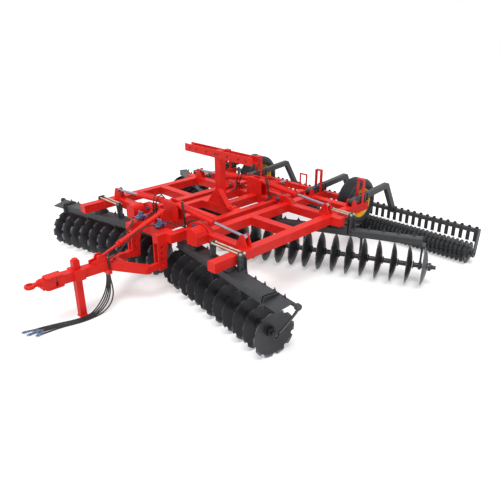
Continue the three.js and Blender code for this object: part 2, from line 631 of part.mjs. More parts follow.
function transportAxle() {
  const { x, y, z } = AXLE_PIN;
  const arms = [LEFT, RIGHT].map((side) => {
    const eye = rod(point(side * (x - 40), y, z), point(side * (x + 40), y, z), 52, 14);
    const arm = beam(point(side * x, y + 20, z), point(side * x, WHEEL.y, WHEEL.z), 80, 96);
    const bore = rod(point(side * (x - 90), y, z), point(side * (x + 90), y, z), 26, 12);
    return cut(join([eye, arm]), [bore]);
  });
  const torqueTube = rod(point(-x + 30, y + 160, z + 6), point(x - 30, y + 160, z + 6), 36, 12);
  const cross = block([-985, 985], [WHEEL.y - 48, WHEEL.y + 48], [WHEEL.z - 48, WHEEL.z + 48]);
  const spindles = [LEFT, RIGHT].map((side) =>
    rod(point(side * 980, WHEEL.y, WHEEL.z), point(side * (WHEEL.x + 40), WHEEL.y, WHEEL.z), 30, 12));
  const crank = outlineOf([[y + 132, z], [LIFT_EYE.y - 36, LIFT_EYE.z - 6]]);
  crank.absarc(LIFT_EYE.y, LIFT_EYE.z, 36, radians(190), radians(-10), true);
  crank.lineTo(y + 188, z);
  crank.closePath();
  const cranks = [-48, 48].map((at) => plateYZ(crank, at, 18));
  const hoop = cut(plateXZ([[-85, WHEEL.z + 40], [85, WHEEL.z + 40], [85, 1070], [-85, 1070]],
    WHEEL.y, 22), [block([-63, 63], [WHEEL.y - 40, WHEEL.y + 40], [WHEEL.z + 30, 1048])]);
  return join([...arms, torqueTube, cross, ...spindles, ...cranks, hoop]);
}

/** A point of the lift cylinder, at a distance from its base towards its rod's eye. */
function liftPoint(distance) {
  const base = point(0, LIFT_BASE.y, LIFT_BASE.z);
  const along = point(0, LIFT_EYE.y, LIFT_EYE.z).sub(base).normalize();
  return base.addScaledVector(along, distance);
}
const LIFT_LENGTH = Math.hypot(LIFT_EYE.y - LIFT_BASE.y, LIFT_EYE.z - LIFT_BASE.z);
const LIFT_BARREL = 470;

function liftBarrel() {
  const { y, z } = LIFT_BASE;
  const eye = rod(point(-38, y, z), point(38, y, z), 38, 14);
  const tube = rod(liftPoint(20), liftPoint(LIFT_BARREL), 38, 12);
  const bore = rod(liftPoint(110), liftPoint(LIFT_BARREL + 20), 24, 12);
  const pinHole = rod(point(-70, y, z), point(70, y, z), 19, 12);
  return cut(join([eye, tube]), [bore, pinHole]);
}

function liftRod() {
  const { y, z } = LIFT_EYE;
  const eye = rod(point(-32, y, z), point(32, y, z), 32, 14);
  return join([eye, rod(liftPoint(150), liftPoint(LIFT_LENGTH), 20, 12)]);
}

/** A wheel's tyre, about X, centred on the origin. */
function tyre() {
  const half = WHEEL.width / 2;
  const bead = WHEEL.rimRadius + GAP;
  return turned([[bead, -half + 25], [bead + 60, -half], [WHEEL.radius - 30, -half + 8],
    [WHEEL.radius, -half + 45], [WHEEL.radius, half - 45], [WHEEL.radius - 30, half - 8],
    [bead + 60, half], [bead, half - 25], [bead, -half + 25]], WHEEL.sides);
}

/** A wheel's rim and hub, dished inwards from its outer face at +X. */
function rim() {
  const half = WHEEL.width / 2;
  const outer = WHEEL.rimRadius;
  const profile = [[34, -100], [70, -100], [70, 20], [215, 35], [outer - 12, -half + 30],
    [outer - 2, -half + 22], [outer, -half + 26], [outer, half - 26], [outer - 2, half - 22],
    [outer - 14, half - 30], [225, 62], [75, 42], [70, 85], [0, 85], [0, 48], [34, 48], [34, -100]];
  return turned(profile, WHEEL.sides);
}

// ---------------------------------------------------------------------------------------------
// Rollers
// ---------------------------------------------------------------------------------------------

const ROLLER_AXIS_Z = ROLLER.radius;

/** The toothed packer roller, about X: a tube with sharp rings and a stub at each end. */
function rollerDrum() {
  const length = ROLLER.outer - ROLLER.inner;
  const pitch = length / ROLLER.rings;
  const profile = [[0, -42], [24, -42], [24, 0], [ROLLER.tube, 0]];
  for (let ring = 0; ring < ROLLER.rings; ring += 1) {
    const at = (ring + 0.5) * pitch;
    profile.push([ROLLER.tube, at - 16], [ROLLER.radius, at], [ROLLER.tube, at + 16]);
  }
  profile.push([ROLLER.tube, length], [24, length], [24, length + 42], [0, length + 42]);
  return turned(profile, 8);
}

/** Two cranked arms, the comb bar with its scrapers, and the plates that carry the roller. */
function rollerFrame(side) {
  const { y, z, stations } = ROLLER_ARM;
  const pieces = [];
  for (const x of stations) {
    const apex = point(x, 2440, 1095);
    const foot = point(x, COMB.y - 20, COMB.z);
    pieces.push(rod(point(x - 40, y, z), point(x + 40, y, z), 48, 14));
    pieces.push(beam(point(x, y + 10, z), apex, 80, 92));
    pieces.push(rod(point(x - 40, apex.y, apex.z), point(x + 40, apex.y, apex.z), 46, 14));
    pieces.push(beam(apex, foot, 80, 88));
  }
  const reach = [ROLLER.inner - 62, ROLLER.outer + 62];
  pieces.push(block(reach, [COMB.y - COMB.width / 2, COMB.y + COMB.width / 2],
    [COMB.z - COMB.height / 2, COMB.z + COMB.height / 2]));
  const plateShape = outlineOf([[COMB.y - 60, COMB.z + 30], [COMB.y + 45, COMB.z + 30]]);
  plateShape.lineTo(COMB.y + 45, COMB.z - 60);
  plateShape.lineTo(ROLLER.y + 62, ROLLER_AXIS_Z);
  plateShape.absarc(ROLLER.y, ROLLER_AXIS_Z, 62, 0, radians(180), true);
  plateShape.closePath();
  for (const x of [reach[0] + 9, reach[1] - 9]) {
    pieces.push(plateYZ(plateShape, x, 18));
  }
  const pitch = (ROLLER.outer - ROLLER.inner) / ROLLER.rings;
  for (let index = 0; index <= ROLLER.rings; index += 1) {
    const x = ROLLER.inner + index * pitch;
    pieces.push(block([x - SCRAPER.half, x + SCRAPER.half], [COMB.y + 8, COMB.y + 20],
      [COMB.z - SCRAPER.drop, COMB.z]));
  }
  const pinHoles = stations.map((x) => rod(point(x - 60, y, z), point(x + 60, y, z), 22, 12));
  const bores = reach.map((x) => rod(point(x - 40, ROLLER.y, ROLLER_AXIS_Z),
    point(x + 40, ROLLER.y, ROLLER_AXIS_Z), 28, 12));
  return onSide(cut(join(pieces), [...pinHoles, ...bores]), side);
}

/** The two plates on the wing that carry a roller arm's pin. */
function armClevis(x) {
  const { y, z } = ROLLER_ARM;
  const outline = outlineOf([[y - 70, FRAME_TOP - 10], [y - 46, z + 5]]);
  outline.absarc(y, z, 46, radians(175), radians(5), true);
  outline.lineTo(y + 70, FRAME_TOP - 10);
  outline.closePath();
  const cheeks = [-56, 56].map((offset) => plateYZ(outline, x + offset, 18));
  const pin = rod(point(x - 64, y, z), point(x + 64, y, z), 18, 10);
  return join([...cheeks, pin]);
}

// ---------------------------------------------------------------------------------------------
// Hydraulic hoses that hang from the drawbar and lie on the floor, with their couplers
// ---------------------------------------------------------------------------------------------

const HOSE = { radius: 10, sides: 8 };
const COUPLER = { radius: 17, length: 95 };

/** Each hose's route: points from the clip under the drawbar to its coupler on the floor. */
const HOSE_ROUTES = [
  [[-3, -2160, 504.7], [-3, -2162, 440], [0, -2172, 370], [6, -2195, 295], [14, -2232, 222],
    [24, -2282, 155], [36, -2345, 96], [54, -2420, 49], [70, -2500, 20], [76, -2580, 11.5],
    [70, -2680, 11.5], [40, -2790, 11.5], [-4, -2910, 11.5], [-42, -3020, 11.5],
    [-72, -3120, 11.5], [-92, -3210, 13], [-104, -3285, 17.5]],
  [[19, -2160, 504.7], [19, -2162, 440], [22, -2170, 368], [28, -2188, 290], [37, -2220, 215],
    [48, -2266, 146], [60, -2328, 88], [78, -2405, 44], [94, -2490, 18], [101, -2580, 11.5],
    [95, -2680, 11.5], [66, -2790, 11.5], [24, -2910, 11.5], [-12, -3020, 11.5],
    [-38, -3110, 12], [-52, -3180, 17.5]],
  [[41, -2160, 504.7], [41, -2161, 440], [44, -2166, 366], [50, -2180, 288], [59, -2208, 210],
    [71, -2252, 139], [84, -2314, 81], [103, -2392, 39], [120, -2482, 16], [126, -2580, 11.5],
    [120, -2680, 11.5], [92, -2790, 11.5], [52, -2910, 11.5], [20, -3020, 11.5],
    [0, -3120, 11.5], [-9, -3200, 13], [-12, -3262, 17.5]],
  [[63, -2160, 504.7], [63, -2160, 440], [66, -2162, 364], [72, -2172, 284], [82, -2196, 204],
    [95, -2238, 132], [109, -2300, 75], [128, -2380, 35], [145, -2475, 15], [151, -2580, 11.5],
    [145, -2680, 11.5], [118, -2790, 11.5], [80, -2910, 11.5], [52, -3020, 11.5],
    [36, -3100, 12.5], [30, -3155, 17.5]],
  [[85, -2160, 504.7], [85, -2158, 440], [90, -2152, 366], [99, -2150, 290], [111, -2160, 214],
    [126, -2190, 144], [142, -2244, 84], [160, -2326, 40], [172, -2430, 16], [179, -2550, 11.5],
    [172, -2670, 11.5], [146, -2790, 11.5], [112, -2910, 11.5], [92, -3020, 11.5],
    [84, -3120, 12.5], [82, -3190, 17.5]],
];

/** A tube along a smooth curve through the points, with flat ends. */
function hoseTube(points) {
  const curve = new THREE.CatmullRomCurve3(points, false, 'centripetal');
  const section = new THREE.Shape();
  for (let corner = 0; corner < HOSE.sides; corner += 1) {
    const angle = (corner / HOSE.sides) * 2 * Math.PI;
    const [a, b] = [HOSE.radius * Math.cos(angle), HOSE.radius * Math.sin(angle)];
    if (corner === 0) section.moveTo(a, b);
    else section.lineTo(a, b);
  }
  section.closePath();
  const steps = Math.ceil(curve.getLength() / (6 * HOSE.radius));
  return solidOf(new THREE.ExtrudeGeometry(section,
    { steps, extrudePath: curve, bevelEnabled: false }));
}

/** A quick coupler in line with the last stretch of its hose. */
function coupler(points) {
  const curve = new THREE.CatmullRomCurve3(points, false, 'centripetal');
  const end = points[points.length - 1];
  const ahead = curve.getTangentAt(1);
  const along = (distance) => end.clone().addScaledVector(ahead, distance);
  const sleeve = rod(along(GAP), along(42), COUPLER.radius - 3, 10);
  const plug = rod(along(38), along(COUPLER.length - 25), COUPLER.radius, 10);
  const tip = rod(along(COUPLER.length - 30), along(COUPLER.length), COUPLER.radius - 6, 10);
  return join([sleeve, plug, tip]);
}

// ---------------------------------------------------------------------------------------------
// The assembly
// ---------------------------------------------------------------------------------------------

const harrow = new THREE.Group();
harrow.position.y = MAST_Y;

harrow.add(
  part('centre_frame', centreFrame(), RED),
  part('front_cylinder_post', cylinderPost(HINGE.stations[0]), RED),
  part('rear_cylinder_post', cylinderPost(HINGE.stations[1]), RED),
  part('wing_rest_mast', wingRestMast(), RED),
  part('valve_block_left', valveBlock(163, -1330), VALVE_METAL),
  part('valve_block_right', valveBlock(-305, -1330), VALVE_METAL),
  part('drawbar', drawbar(), RED),
  part('hitch_swivel_housing', swivelHousing(), RED),
  part('hitch_ring', hitchRing(), RED),
  part('parking_stand', parkingStand(), RED),
  part('levelling_link_tube', levellingTube(), RED),
  part('levelling_link_rod', levellingRod(), CHROME),
  part('transport_axle', transportAxle(), RED),
  part('lift_cylinder_barrel', liftBarrel(), RED),
  part('lift_cylinder_rod', liftRod(), CHROME),
);

for (const side of [LEFT, RIGHT]) {
  const name = sideName(side);
  harrow.add(
    part(`wing_frame_${name}`, wingFrame(side), RED),
    part(`roller_frame_${name}`, rollerFrame(side), CHARCOAL),
  );
  for (const [place, y] of Object.entries(WING.plain)) {
    harrow.add(part(`wing_${place}_beam_${name}`, wingCrossBeam(y, side), RED));
  }
  for (const [end, mount] of Object.entries(GANG_MOUNTS)) {
    harrow.add(
      part(`${end}_gang_beam_${name}`, gangCarrier(end, side), CHARCOAL),
      part(`${end}_tie_rods_${name}`, tieRods(end, side), CHARCOAL),
    );
    const place = gangPlace(mount.gang, side);
    place.add(part(`${end}_disc_gang_${name}`, discGang(mount.gang), DISC_STEEL));
    harrow.add(place);
  }
  HINGE.stations.forEach((station, index) => {
    const end = index === 0 ? 'front' : 'rear';
    harrow.add(
      part(`${end}_fold_barrel_${name}`, foldBarrel(station, side), RED),
      part(`${end}_fold_rod_${name}`, foldRod(station, side), CHROME),
    );
  });

  const wheel = new THREE.Group();
  wheel.position.set(side * WHEEL.x, WHEEL.y, WHEEL.z);
  wheel.rotation.z = side === LEFT ? 0 : Math.PI;
  wheel.add(part(`tyre_${name}`, tyre(), TYRE_RUBBER), part(`wheel_rim_${name}`, rim(), RIM_YELLOW));
  harrow.add(wheel);

  const roller = part(`packer_roller_${name}`, rollerDrum(), CHARCOAL);
  roller.position.set(side * ROLLER.inner, ROLLER.y, ROLLER_AXIS_Z);
  roller.rotation.z = side === LEFT ? 0 : Math.PI;
  harrow.add(roller);
}

HOSE_ROUTES.forEach((route, index) => {
  const points = route.map(([x, y, z]) => point(x, y, z));
  harrow.add(
    part(`hydraulic_hose_${index + 1}`, hoseTube(points), HOSE_RUBBER),
    part(`hose_coupler_${index + 1}`, coupler(points), VALVE_METAL),
  );
});

export default harrow;
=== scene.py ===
import json
import logging
import math
import random
from dataclasses import dataclass, field
from enum import Enum
from typing import Iterable, Sequence

import bpy
from mathutils import Matrix, Vector

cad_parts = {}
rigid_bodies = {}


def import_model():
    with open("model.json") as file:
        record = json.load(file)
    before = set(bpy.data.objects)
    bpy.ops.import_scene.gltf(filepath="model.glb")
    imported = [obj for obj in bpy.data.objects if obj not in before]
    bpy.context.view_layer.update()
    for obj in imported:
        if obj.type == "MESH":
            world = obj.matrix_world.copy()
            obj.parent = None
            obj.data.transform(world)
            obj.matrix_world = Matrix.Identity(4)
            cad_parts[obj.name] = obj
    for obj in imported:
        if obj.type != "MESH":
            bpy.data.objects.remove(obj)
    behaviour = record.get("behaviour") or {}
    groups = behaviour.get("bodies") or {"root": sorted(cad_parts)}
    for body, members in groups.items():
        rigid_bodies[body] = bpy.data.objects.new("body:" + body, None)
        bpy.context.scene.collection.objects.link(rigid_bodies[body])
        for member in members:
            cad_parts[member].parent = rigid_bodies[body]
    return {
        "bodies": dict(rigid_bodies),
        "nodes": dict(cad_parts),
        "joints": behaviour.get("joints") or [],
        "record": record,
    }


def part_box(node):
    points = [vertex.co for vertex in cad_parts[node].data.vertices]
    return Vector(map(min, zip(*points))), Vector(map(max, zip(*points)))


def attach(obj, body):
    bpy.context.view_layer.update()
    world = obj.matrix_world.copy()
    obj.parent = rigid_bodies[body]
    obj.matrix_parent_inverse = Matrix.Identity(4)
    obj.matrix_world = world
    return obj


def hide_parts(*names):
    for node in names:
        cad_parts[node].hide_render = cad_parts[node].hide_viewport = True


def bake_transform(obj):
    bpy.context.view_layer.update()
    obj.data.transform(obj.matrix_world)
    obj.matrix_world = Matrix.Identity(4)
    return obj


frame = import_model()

LOG = logging.getLogger("disc_harrow")
MAST_Y = 0.1785  # the mast's place along Y, which every listed route is measured from
PORT_PITCH = 0.034  # between the ports of a valve cluster, along X
TINT_LEVELS, GLOSS_LEVELS = (0.32, 0.68), (0.3, 0.7)  # levels of the broad noise that a drift spans
HIGHLIGHT_PATCHES = (0.42, 0.58)  # levels of the same noise between which the painted rim highlight goes from faint to full
# the painted rim highlight's strength in its faintest patches
FAINT_HIGHLIGHT = 0.08
Point = tuple[float, float, float]
Profile = Sequence[tuple[float, float]]
JOINTS = {joint["name"]: joint for joint in frame["joints"]}
BODY_OF = {node: body for body, nodes in frame["record"]["behaviour"]["bodies"].items() for node in nodes}
SLOT_OF = {row["node"]: row["material_slot"] for row in frame["record"]["subparts"]}


class Side(Enum):
    """The machine's two sides, as the sign of X."""

    LEFT = 1
    RIGHT = -1

    @property
    def word(self) -> str:
        """The side's name in lower case."""
        return self.name.lower()


class End(Enum):
    """The two ends of the machine, each with its own pair of gangs and fold cylinders."""

    FRONT = "front"
    REAR = "rear"


# ---------------------------------------------------------------------------------------------
# Finishes
# ---------------------------------------------------------------------------------------------


def linear(code: str) -> tuple[float, float, float, float]:
    """Turns an sRGB hex colour into linear light.

    Args:
        code: Six hex digits, with or without a hash.

    Returns:
        Red, green, blue and an alpha of 1.
    """
    digits = code.lstrip("#")
    channels = [int(digits[i:i + 2], 16) / 255 for i in (0, 2, 4)]
    low, knee = 12.92, 0.04045
    light = [c / low if c <= knee else ((c + 0.055) / 1.055) ** 2.4 for c in channels]
    return (light[0], light[1], light[2], 1.0)


def add_node(tree: bpy.types.NodeTree, kind: str, settings: dict | None = None,
             **inputs: object) -> bpy.types.Node:
    """Adds one shader node.

    Args:
        tree: The material's or world's node tree.
        kind: Blender's name for the node's type.
        settings: Properties of the node itself.
        inputs: Socket names, with underscores for spaces, each with a value or a socket to link.

    Returns:
        The new node.
    """
    node = tree.nodes.new(kind)
    for name, value in (settings or {}).items():
        setattr(node, name, value)
    for name, value in inputs.items():
        socket = node.inputs[name.replace("_", " ")]
        if isinstance(value, bpy.types.NodeSocket):
            tree.links.new(value, socket)
        else:
            socket.default_value = value
    return node


@dataclass(frozen=True)
class Finish:
    """A surface whose colour and gloss drift a little from place to place, with a fine relief."""

    name: str
    colour: str
    shade: str
    roughness: tuple[float, float]
    metallic: float = 0.0
    drift_mm: float = 180.0
    grain_mm: float = 6.0
    relief: float = 0.05
    specular: float = 0.5
    # the colour of a painted highlight, mixed in by a vertex attribute of the mesh
    worn: str | None = None

    def build(self) -> bpy.types.Material:
        """Makes the material.

        Returns:
            The node material, on Object coordinates.
        """
        made = bpy.data.materials.new(self.name)
        made.use_nodes = True
        tree = made.node_tree
        tree.nodes.clear()
        place = add_node(tree, "ShaderNodeTexCoord").outputs["Object"]
        drift = add_node(tree, "ShaderNodeTexNoise", Vector=place, Scale=1000 / self.drift_mm, Detail=4.0)
        grain = add_node(tree, "ShaderNodeTexNoise", Vector=place, Scale=1000 / self.grain_mm, Detail=2.0)
        tint = add_node(tree, "ShaderNodeValToRGB", Fac=drift.outputs["Fac"])
        for stop, at, code in zip(tint.color_ramp.elements, TINT_LEVELS, (self.shade, self.colour)):
            stop.position = at
            stop.color = linear(code)
        gloss = add_node(tree, "ShaderNodeMapRange", Value=drift.outputs["Fac"], From_Min=GLOSS_LEVELS[0],
                         From_Max=GLOSS_LEVELS[1], To_Min=self.roughness[0], To_Max=self.roughness[1])
        bump = add_node(tree, "ShaderNodeBump", Height=grain.outputs["Fac"], Strength=self.relief,
                        Distance=0.001)
        colour = tint.outputs["Color"]
        # A painted highlight: its colour is mixed in by the mesh's vertex attribute, in patches from the
        # broad noise.
        if self.worn:
            wear = add_node(tree, "ShaderNodeAttribute", {"attribute_name": "wear"})
            patchy_highlight = add_node(tree, "ShaderNodeMath", {"operation": "MULTIPLY"})
            highlight_patches = add_node(tree, "ShaderNodeMapRange", Value=drift.outputs["Fac"], To_Min=FAINT_HIGHLIGHT,
                               To_Max=1.0, From_Min=HIGHLIGHT_PATCHES[0], From_Max=HIGHLIGHT_PATCHES[1])
            tree.links.new(wear.outputs["Fac"], patchy_highlight.inputs[0])
            tree.links.new(highlight_patches.outputs["Result"], patchy_highlight.inputs[1])
            mix = add_node(tree, "ShaderNodeMixRGB", Fac=patchy_highlight.outputs[0], Color1=colour,
                           Color2=linear(self.worn))
            colour = mix.outputs["Color"]
        shader = add_node(tree, "ShaderNodeBsdfPrincipled", Base_Color=colour, Metallic=self.metallic,
                          Roughness=gloss.outputs["Result"], Normal=bump.outputs["Normal"],
                          Specular_IOR_Level=self.specular)
        add_node(tree, "ShaderNodeOutputMaterial", Surface=shader.outputs["BSDF"])
        return made


FINISHES = {
    # Two-pack enamel sprayed on welded steel: strong orange red, half gloss, with a faint orange peel.
    "red_paint": Finish("red_enamel", "e8261b", "d91c16", (0.42, 0.54), specular=0.28, relief=0.06),
    # Satin chassis enamel: charcoal, with soft broad highlights.
    "charcoal_paint": Finish("charcoal_satin_enamel", "3d3f42", "323437", (0.42, 0.56), specular=0.4,
                             relief=0.10),
    # Boron steel dipped in black lacquer, with a painted highlight: lighter metal in patches along the rim.
    "disc_steel": Finish("black_dipped_boron_steel", "37373c", "2a2a2e", (0.36, 0.50), metallic=0.25,
                         drift_mm=70, relief=0.08, worn="8a8b91"),
    # Gloss enamel on a pressed wheel rim.
    "rim_yellow": Finish("yellow_gloss_enamel", "e8b428", "d9a51c", (0.32, 0.44), specular=0.4),
    # Moulded tyre rubber, dressed and a little shiny.
    "tyre": Finish("moulded_tyre_rubber", "1b1d22", "141519", (0.40, 0.52), grain_mm=3, relief=0.12),
    # Hard chrome, ground and polished, on a cylinder's rod, with a painted reflection: its colour is a cool
    # lavender grey that stands in for the sky it mirrors.
    "chrome": Finish("hard_chrome_plate", "a9abb9", "9799a8", (0.20, 0.28), metallic=1.0, grain_mm=60,
                     relief=0.004),
    # Bright zinc plate with a strong blue passivation, on valves and couplers.
    "zinc": Finish("blue_passivated_zinc", "8fa0bd", "1f4276", (0.22, 0.36), metallic=0.85, drift_mm=24),
    # Pale yellowish zinc plate, gone dull, on the long tie rods.
    "rod_plating": Finish("dull_yellowish_zinc_plate", "ddd6c2", "b9b19b", (0.34, 0.46), metallic=0.25,
                          drift_mm=60),
    # Extruded synthetic rubber cover of a hydraulic hose.
    "hose_rubber": Finish("extruded_hose_cover", "1b1c1d", "141516", (0.30, 0.42), grain_mm=2, relief=0.10),
}
MATERIALS = {slot: finish.build() for slot, finish in FINISHES.items()}


# ---------------------------------------------------------------------------------------------
# Modelling by hand: primitives, edit mode and modifiers
# ---------------------------------------------------------------------------------------------


def deselect() -> None:
    """Leaves nothing selected, so that an operator acts only on what comes next."""
    bpy.ops.object.select_all(action="DESELECT")


def settle(piece: bpy.types.Object) -> bpy.types.Object:
    """Moves a piece's place into its mesh, so that its object sits at the origin."""
    deselect()
    piece.select_set(True)
    bpy.context.view_layer.objects.active = piece
    bpy.ops.object.transform_apply(location=True, rotation=True, scale=True)
    return piece


def turned(name: str, profile: Profile, steps: int) -> bpy.types.Object:
    """Extrudes a chain of vertices along a profile and spins it about X.

    Args:
        name: The piece's name.
        profile: Places along X with their radius. A radius of 0 closes an end.
        steps: How many faces go round.

    Returns:
        The closed piece, about the X axis.
    """
    deselect()
    bpy.ops.mesh.primitive_plane_add(size=0.02)
    piece = bpy.context.object
    piece.name = name
    bpy.ops.object.mode_set(mode="EDIT")
    bpy.ops.mesh.select_all(action="SELECT")
    bpy.ops.mesh.merge(type="CENTER")
    bpy.ops.transform.translate(value=(profile[0][0], profile[0][1], 0))
    for (x0, r0), (x1, r1) in zip(profile, profile[1:]):
        bpy.ops.mesh.extrude_region_move(TRANSFORM_OT_translate={"value": (x1 - x0, r1 - r0, 0)})
    bpy.ops.mesh.select_all(action="SELECT")
    bpy.ops.mesh.spin(steps=steps, angle=math.tau, center=(0, 0, 0), axis=(1, 0, 0))
    bpy.ops.mesh.select_all(action="SELECT")
    bpy.ops.mesh.remove_doubles(threshold=1e-5)
    bpy.ops.mesh.normals_make_consistent(inside=False)
    bpy.ops.object.mode_set(mode="OBJECT")
    return piece


def bar(name: str, radius: float, start: float, stop: float, sides: int = 24,
        soft: float = 0.003) -> bpy.types.Object:
    """A round bar along X with bevelled rims.

    Args:
        name: The piece's name.
        radius: The bar's radius.
        start: Where it starts along X.
        stop: Where it stops along X.
        sides: Faces round it.
        soft: The size of the bevel.

    Returns:
        The bar.
    """
    return turned(name, [(start, 0), (start, radius - soft), (start + soft, radius), (stop - soft, radius),
                         (stop, radius - soft), (stop, 0)], sides)


def pierced(name: str, half: float, hole: float, radius: float, soft: float) -> bpy.types.Object:
    """A round ring about X, with a hole through it and bevelled rims.

    Args:
        name: The piece's name.
        half: Half its width along X.
        hole: The hole's radius.
        radius: The ring's radius.
        soft: The size of the bevel.

    Returns:
        The ring.
    """
    return turned(name, [(-half, hole), (-half, radius - soft), (-half + soft, radius), (half - soft, radius),
                         (half, radius - soft), (half, hole), (-half, hole)], 28)


def block(name: str, low: Point, high: Point, soft: float) -> bpy.types.Object:
    """A block with bevelled edges.

    Args:
        name: The piece's name.
        low: Its lowest corner.
        high: Its highest corner.
        soft: The size of the bevel.

    Returns:
        The block.
    """
    middle = (Vector(low) + Vector(high)) / 2
    deselect()
    bpy.ops.mesh.primitive_cube_add(size=1, location=middle)
    piece = bpy.context.object
    piece.name = name
    piece.scale = Vector(high) - Vector(low)
    settle(piece)
    bpy.ops.object.mode_set(mode="EDIT")
    bpy.ops.mesh.select_all(action="SELECT")
    bpy.ops.mesh.bevel(offset=soft, segments=2, affect="EDGES")
    bpy.ops.object.mode_set(mode="OBJECT")
    return piece


def flat_plate(name: str, outline: Profile, at: float, thickness: float,
               soft: float = 0.002) -> bpy.types.Object:
    """A plate that stands across X, extruded from an outline and bevelled.

    Args:
        name: The piece's name.
        outline: The corners, as places along Y and Z.
        at: The plate's middle along X.
        thickness: How thick it is.
        soft: The size of the bevel.

    Returns:
        The closed plate.
    """
    deselect()
    bpy.ops.mesh.primitive_circle_add(vertices=len(outline), fill_type="NGON")
    piece = bpy.context.object
    piece.name = name
    for vertex, (across, up) in zip(piece.data.vertices, outline):
        vertex.co = (at - thickness / 2, across, up)
    bpy.ops.object.mode_set(mode="EDIT")
    bpy.ops.mesh.select_all(action="SELECT")
    bpy.ops.mesh.extrude_region_move(TRANSFORM_OT_translate={"value": (thickness, 0, 0)})
    bpy.ops.mesh.select_all(action="SELECT")
    bpy.ops.mesh.normals_make_consistent(inside=False)
    bpy.ops.mesh.bevel(offset=soft, segments=1, affect="EDGES")
    bpy.ops.object.mode_set(mode="OBJECT")
    return piece


def sweep(start: tuple[float, float], pull: tuple[float, float], stop: tuple[float, float],
          steps: int = 7) -> list[tuple[float, float]]:
    """Points along a curve that leaves start and reaches stop, drawn towards pull."""
    points = []
    for step in range(steps + 1):
        t = step / steps
        points.append(tuple((1 - t) ** 2 * a + 2 * t * (1 - t) * b + t * t * c
                            for a, b, c in zip(start, pull, stop)))
    return points


def tube_along(name: str, points: Sequence[Vector], diameter: float, fineness: int = 4) -> bpy.types.Object:
    """A round curve through points.

    Args:
        name: The piece's name.
        points: The route.
        diameter: How thick it is.
        fineness: How round its section is.

    Returns:
        The curve.
    """
    data = bpy.data.curves.new(name, "CURVE")
    data.dimensions, data.bevel_depth, data.bevel_resolution = "3D", diameter / 2, fineness
    data.use_fill_caps = True
    spline = data.splines.new("BEZIER")
    spline.bezier_points.add(len(points) - 1)
    for knot, place in zip(spline.bezier_points, points):
        knot.co = place
        knot.handle_left_type = knot.handle_right_type = "AUTO"
    spline.resolution_u = 6
    made = bpy.data.objects.new(name, data)
    bpy.context.scene.collection.objects.link(made)
    bpy.context.view_layer.update()
    return made


def upright(matrix: Matrix) -> Matrix:
    """Turns a piece modelled along X to stand along Z, at a place."""
    return matrix @ Matrix.Rotation(-math.pi / 2, 4, "Y")


def crosswise(matrix: Matrix, face: int = 1) -> Matrix:
    """Turns a piece modelled along X to point along Y, at a place, or against Y where face is -1."""
    return matrix @ Matrix.Rotation(face * math.pi / 2, 4, "Z")


ACROSS = Matrix.Scale(-1, 4, (1, 0, 0))  # the left side's pieces, mirrored to the right


def both_sides(name: str, parts: Iterable[bpy.types.Object], body: str, slot: str, node: str = "") -> None:
    """Joins the left side's parts, and sets one whole on each side.

    Args:
        name: The piece's name, before its side.
        parts: The parts of the left side, in the machine's frame.
        body: The body's name, before its side, or the whole name of a body that both sides share.
        slot: The material slot.
        node: The node that it stands for, before its side.
    """
    whole = joined(name, parts)
    for side in Side:
        copy = placed(whole, Matrix.Identity(4) if side is Side.LEFT else ACROSS)
        copy.name = f"{name}_{side.word}"
        sided = f"{body}_{side.word}"
        nodes = [f"{node}_{side.word}"] if node else []
        fit(copy, sided if sided in frame["bodies"] else body, slot, *nodes)
    discard(whole)


def placed(piece: bpy.types.Object, matrix: Matrix) -> bpy.types.Object:
    """Copies a piece, with a mesh of its own, to a place.

    Args:
        piece: The piece that was modelled once.
        matrix: Where the copy goes.

    Returns:
        The copy, with its place in its mesh.
    """
    copy = piece.copy()
    copy.data = piece.data.copy()
    copy.data.transform(matrix)
    if matrix.determinant() < 0:
        copy.data.flip_normals()
    bpy.context.scene.collection.objects.link(copy)
    return copy


def joined(name: str, pieces: Iterable[bpy.types.Object]) -> bpy.types.Object:
    """Joins pieces into one mesh and smooths its round faces."""
    deselect()
    chosen = list(pieces)
    for piece in chosen:
        piece.select_set(True)
    bpy.context.view_layer.objects.active = chosen[0]
    bpy.ops.object.join()
    whole = bpy.context.object
    whole.name = name
    bpy.ops.object.shade_smooth_by_angle(angle=math.radians(32))
    return whole


def discard(*pieces: bpy.types.Object) -> None:
    """Removes patterns that were only copied from."""
    for piece in pieces:
        bpy.data.objects.remove(piece)


def along(origin: Point, axis: Point) -> Matrix:
    """The place of a piece modelled about X.

    Args:
        origin: Where the piece's own origin goes.
        axis: The direction that its X takes.

    Returns:
        A turn and a move, with Z kept as near upright as it can be.
    """
    ahead = Vector(axis).normalized()
    helper = Vector((0, 1, 0)) if abs(ahead.z) > 0.95 else Vector((0, 0, 1))
    level = helper.cross(ahead).normalized()
    above = ahead.cross(level)
    turn = Matrix((ahead, level, above)).transposed().to_4x4()
    return Matrix.Translation(origin) @ turn


def dress(piece: bpy.types.Object, slot: str) -> bpy.types.Object:
    """Gives a finished piece the material of a slot."""
    piece.data.materials.clear()
    piece.data.materials.append(MATERIALS[slot])
    return piece


def fit(piece: bpy.types.Object, body: str, slot: str, *nodes: str) -> bpy.types.Object:
    """Gives a finished piece its material, its body and the nodes that it stands for."""
    dress(piece, slot)
    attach(piece, body)
    if nodes:
        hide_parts(*nodes)
    LOG.info("%s rides on %s", piece.name, body)
    return piece


# ---------------------------------------------------------------------------------------------
# Camera, light and floor
# ---------------------------------------------------------------------------------------------


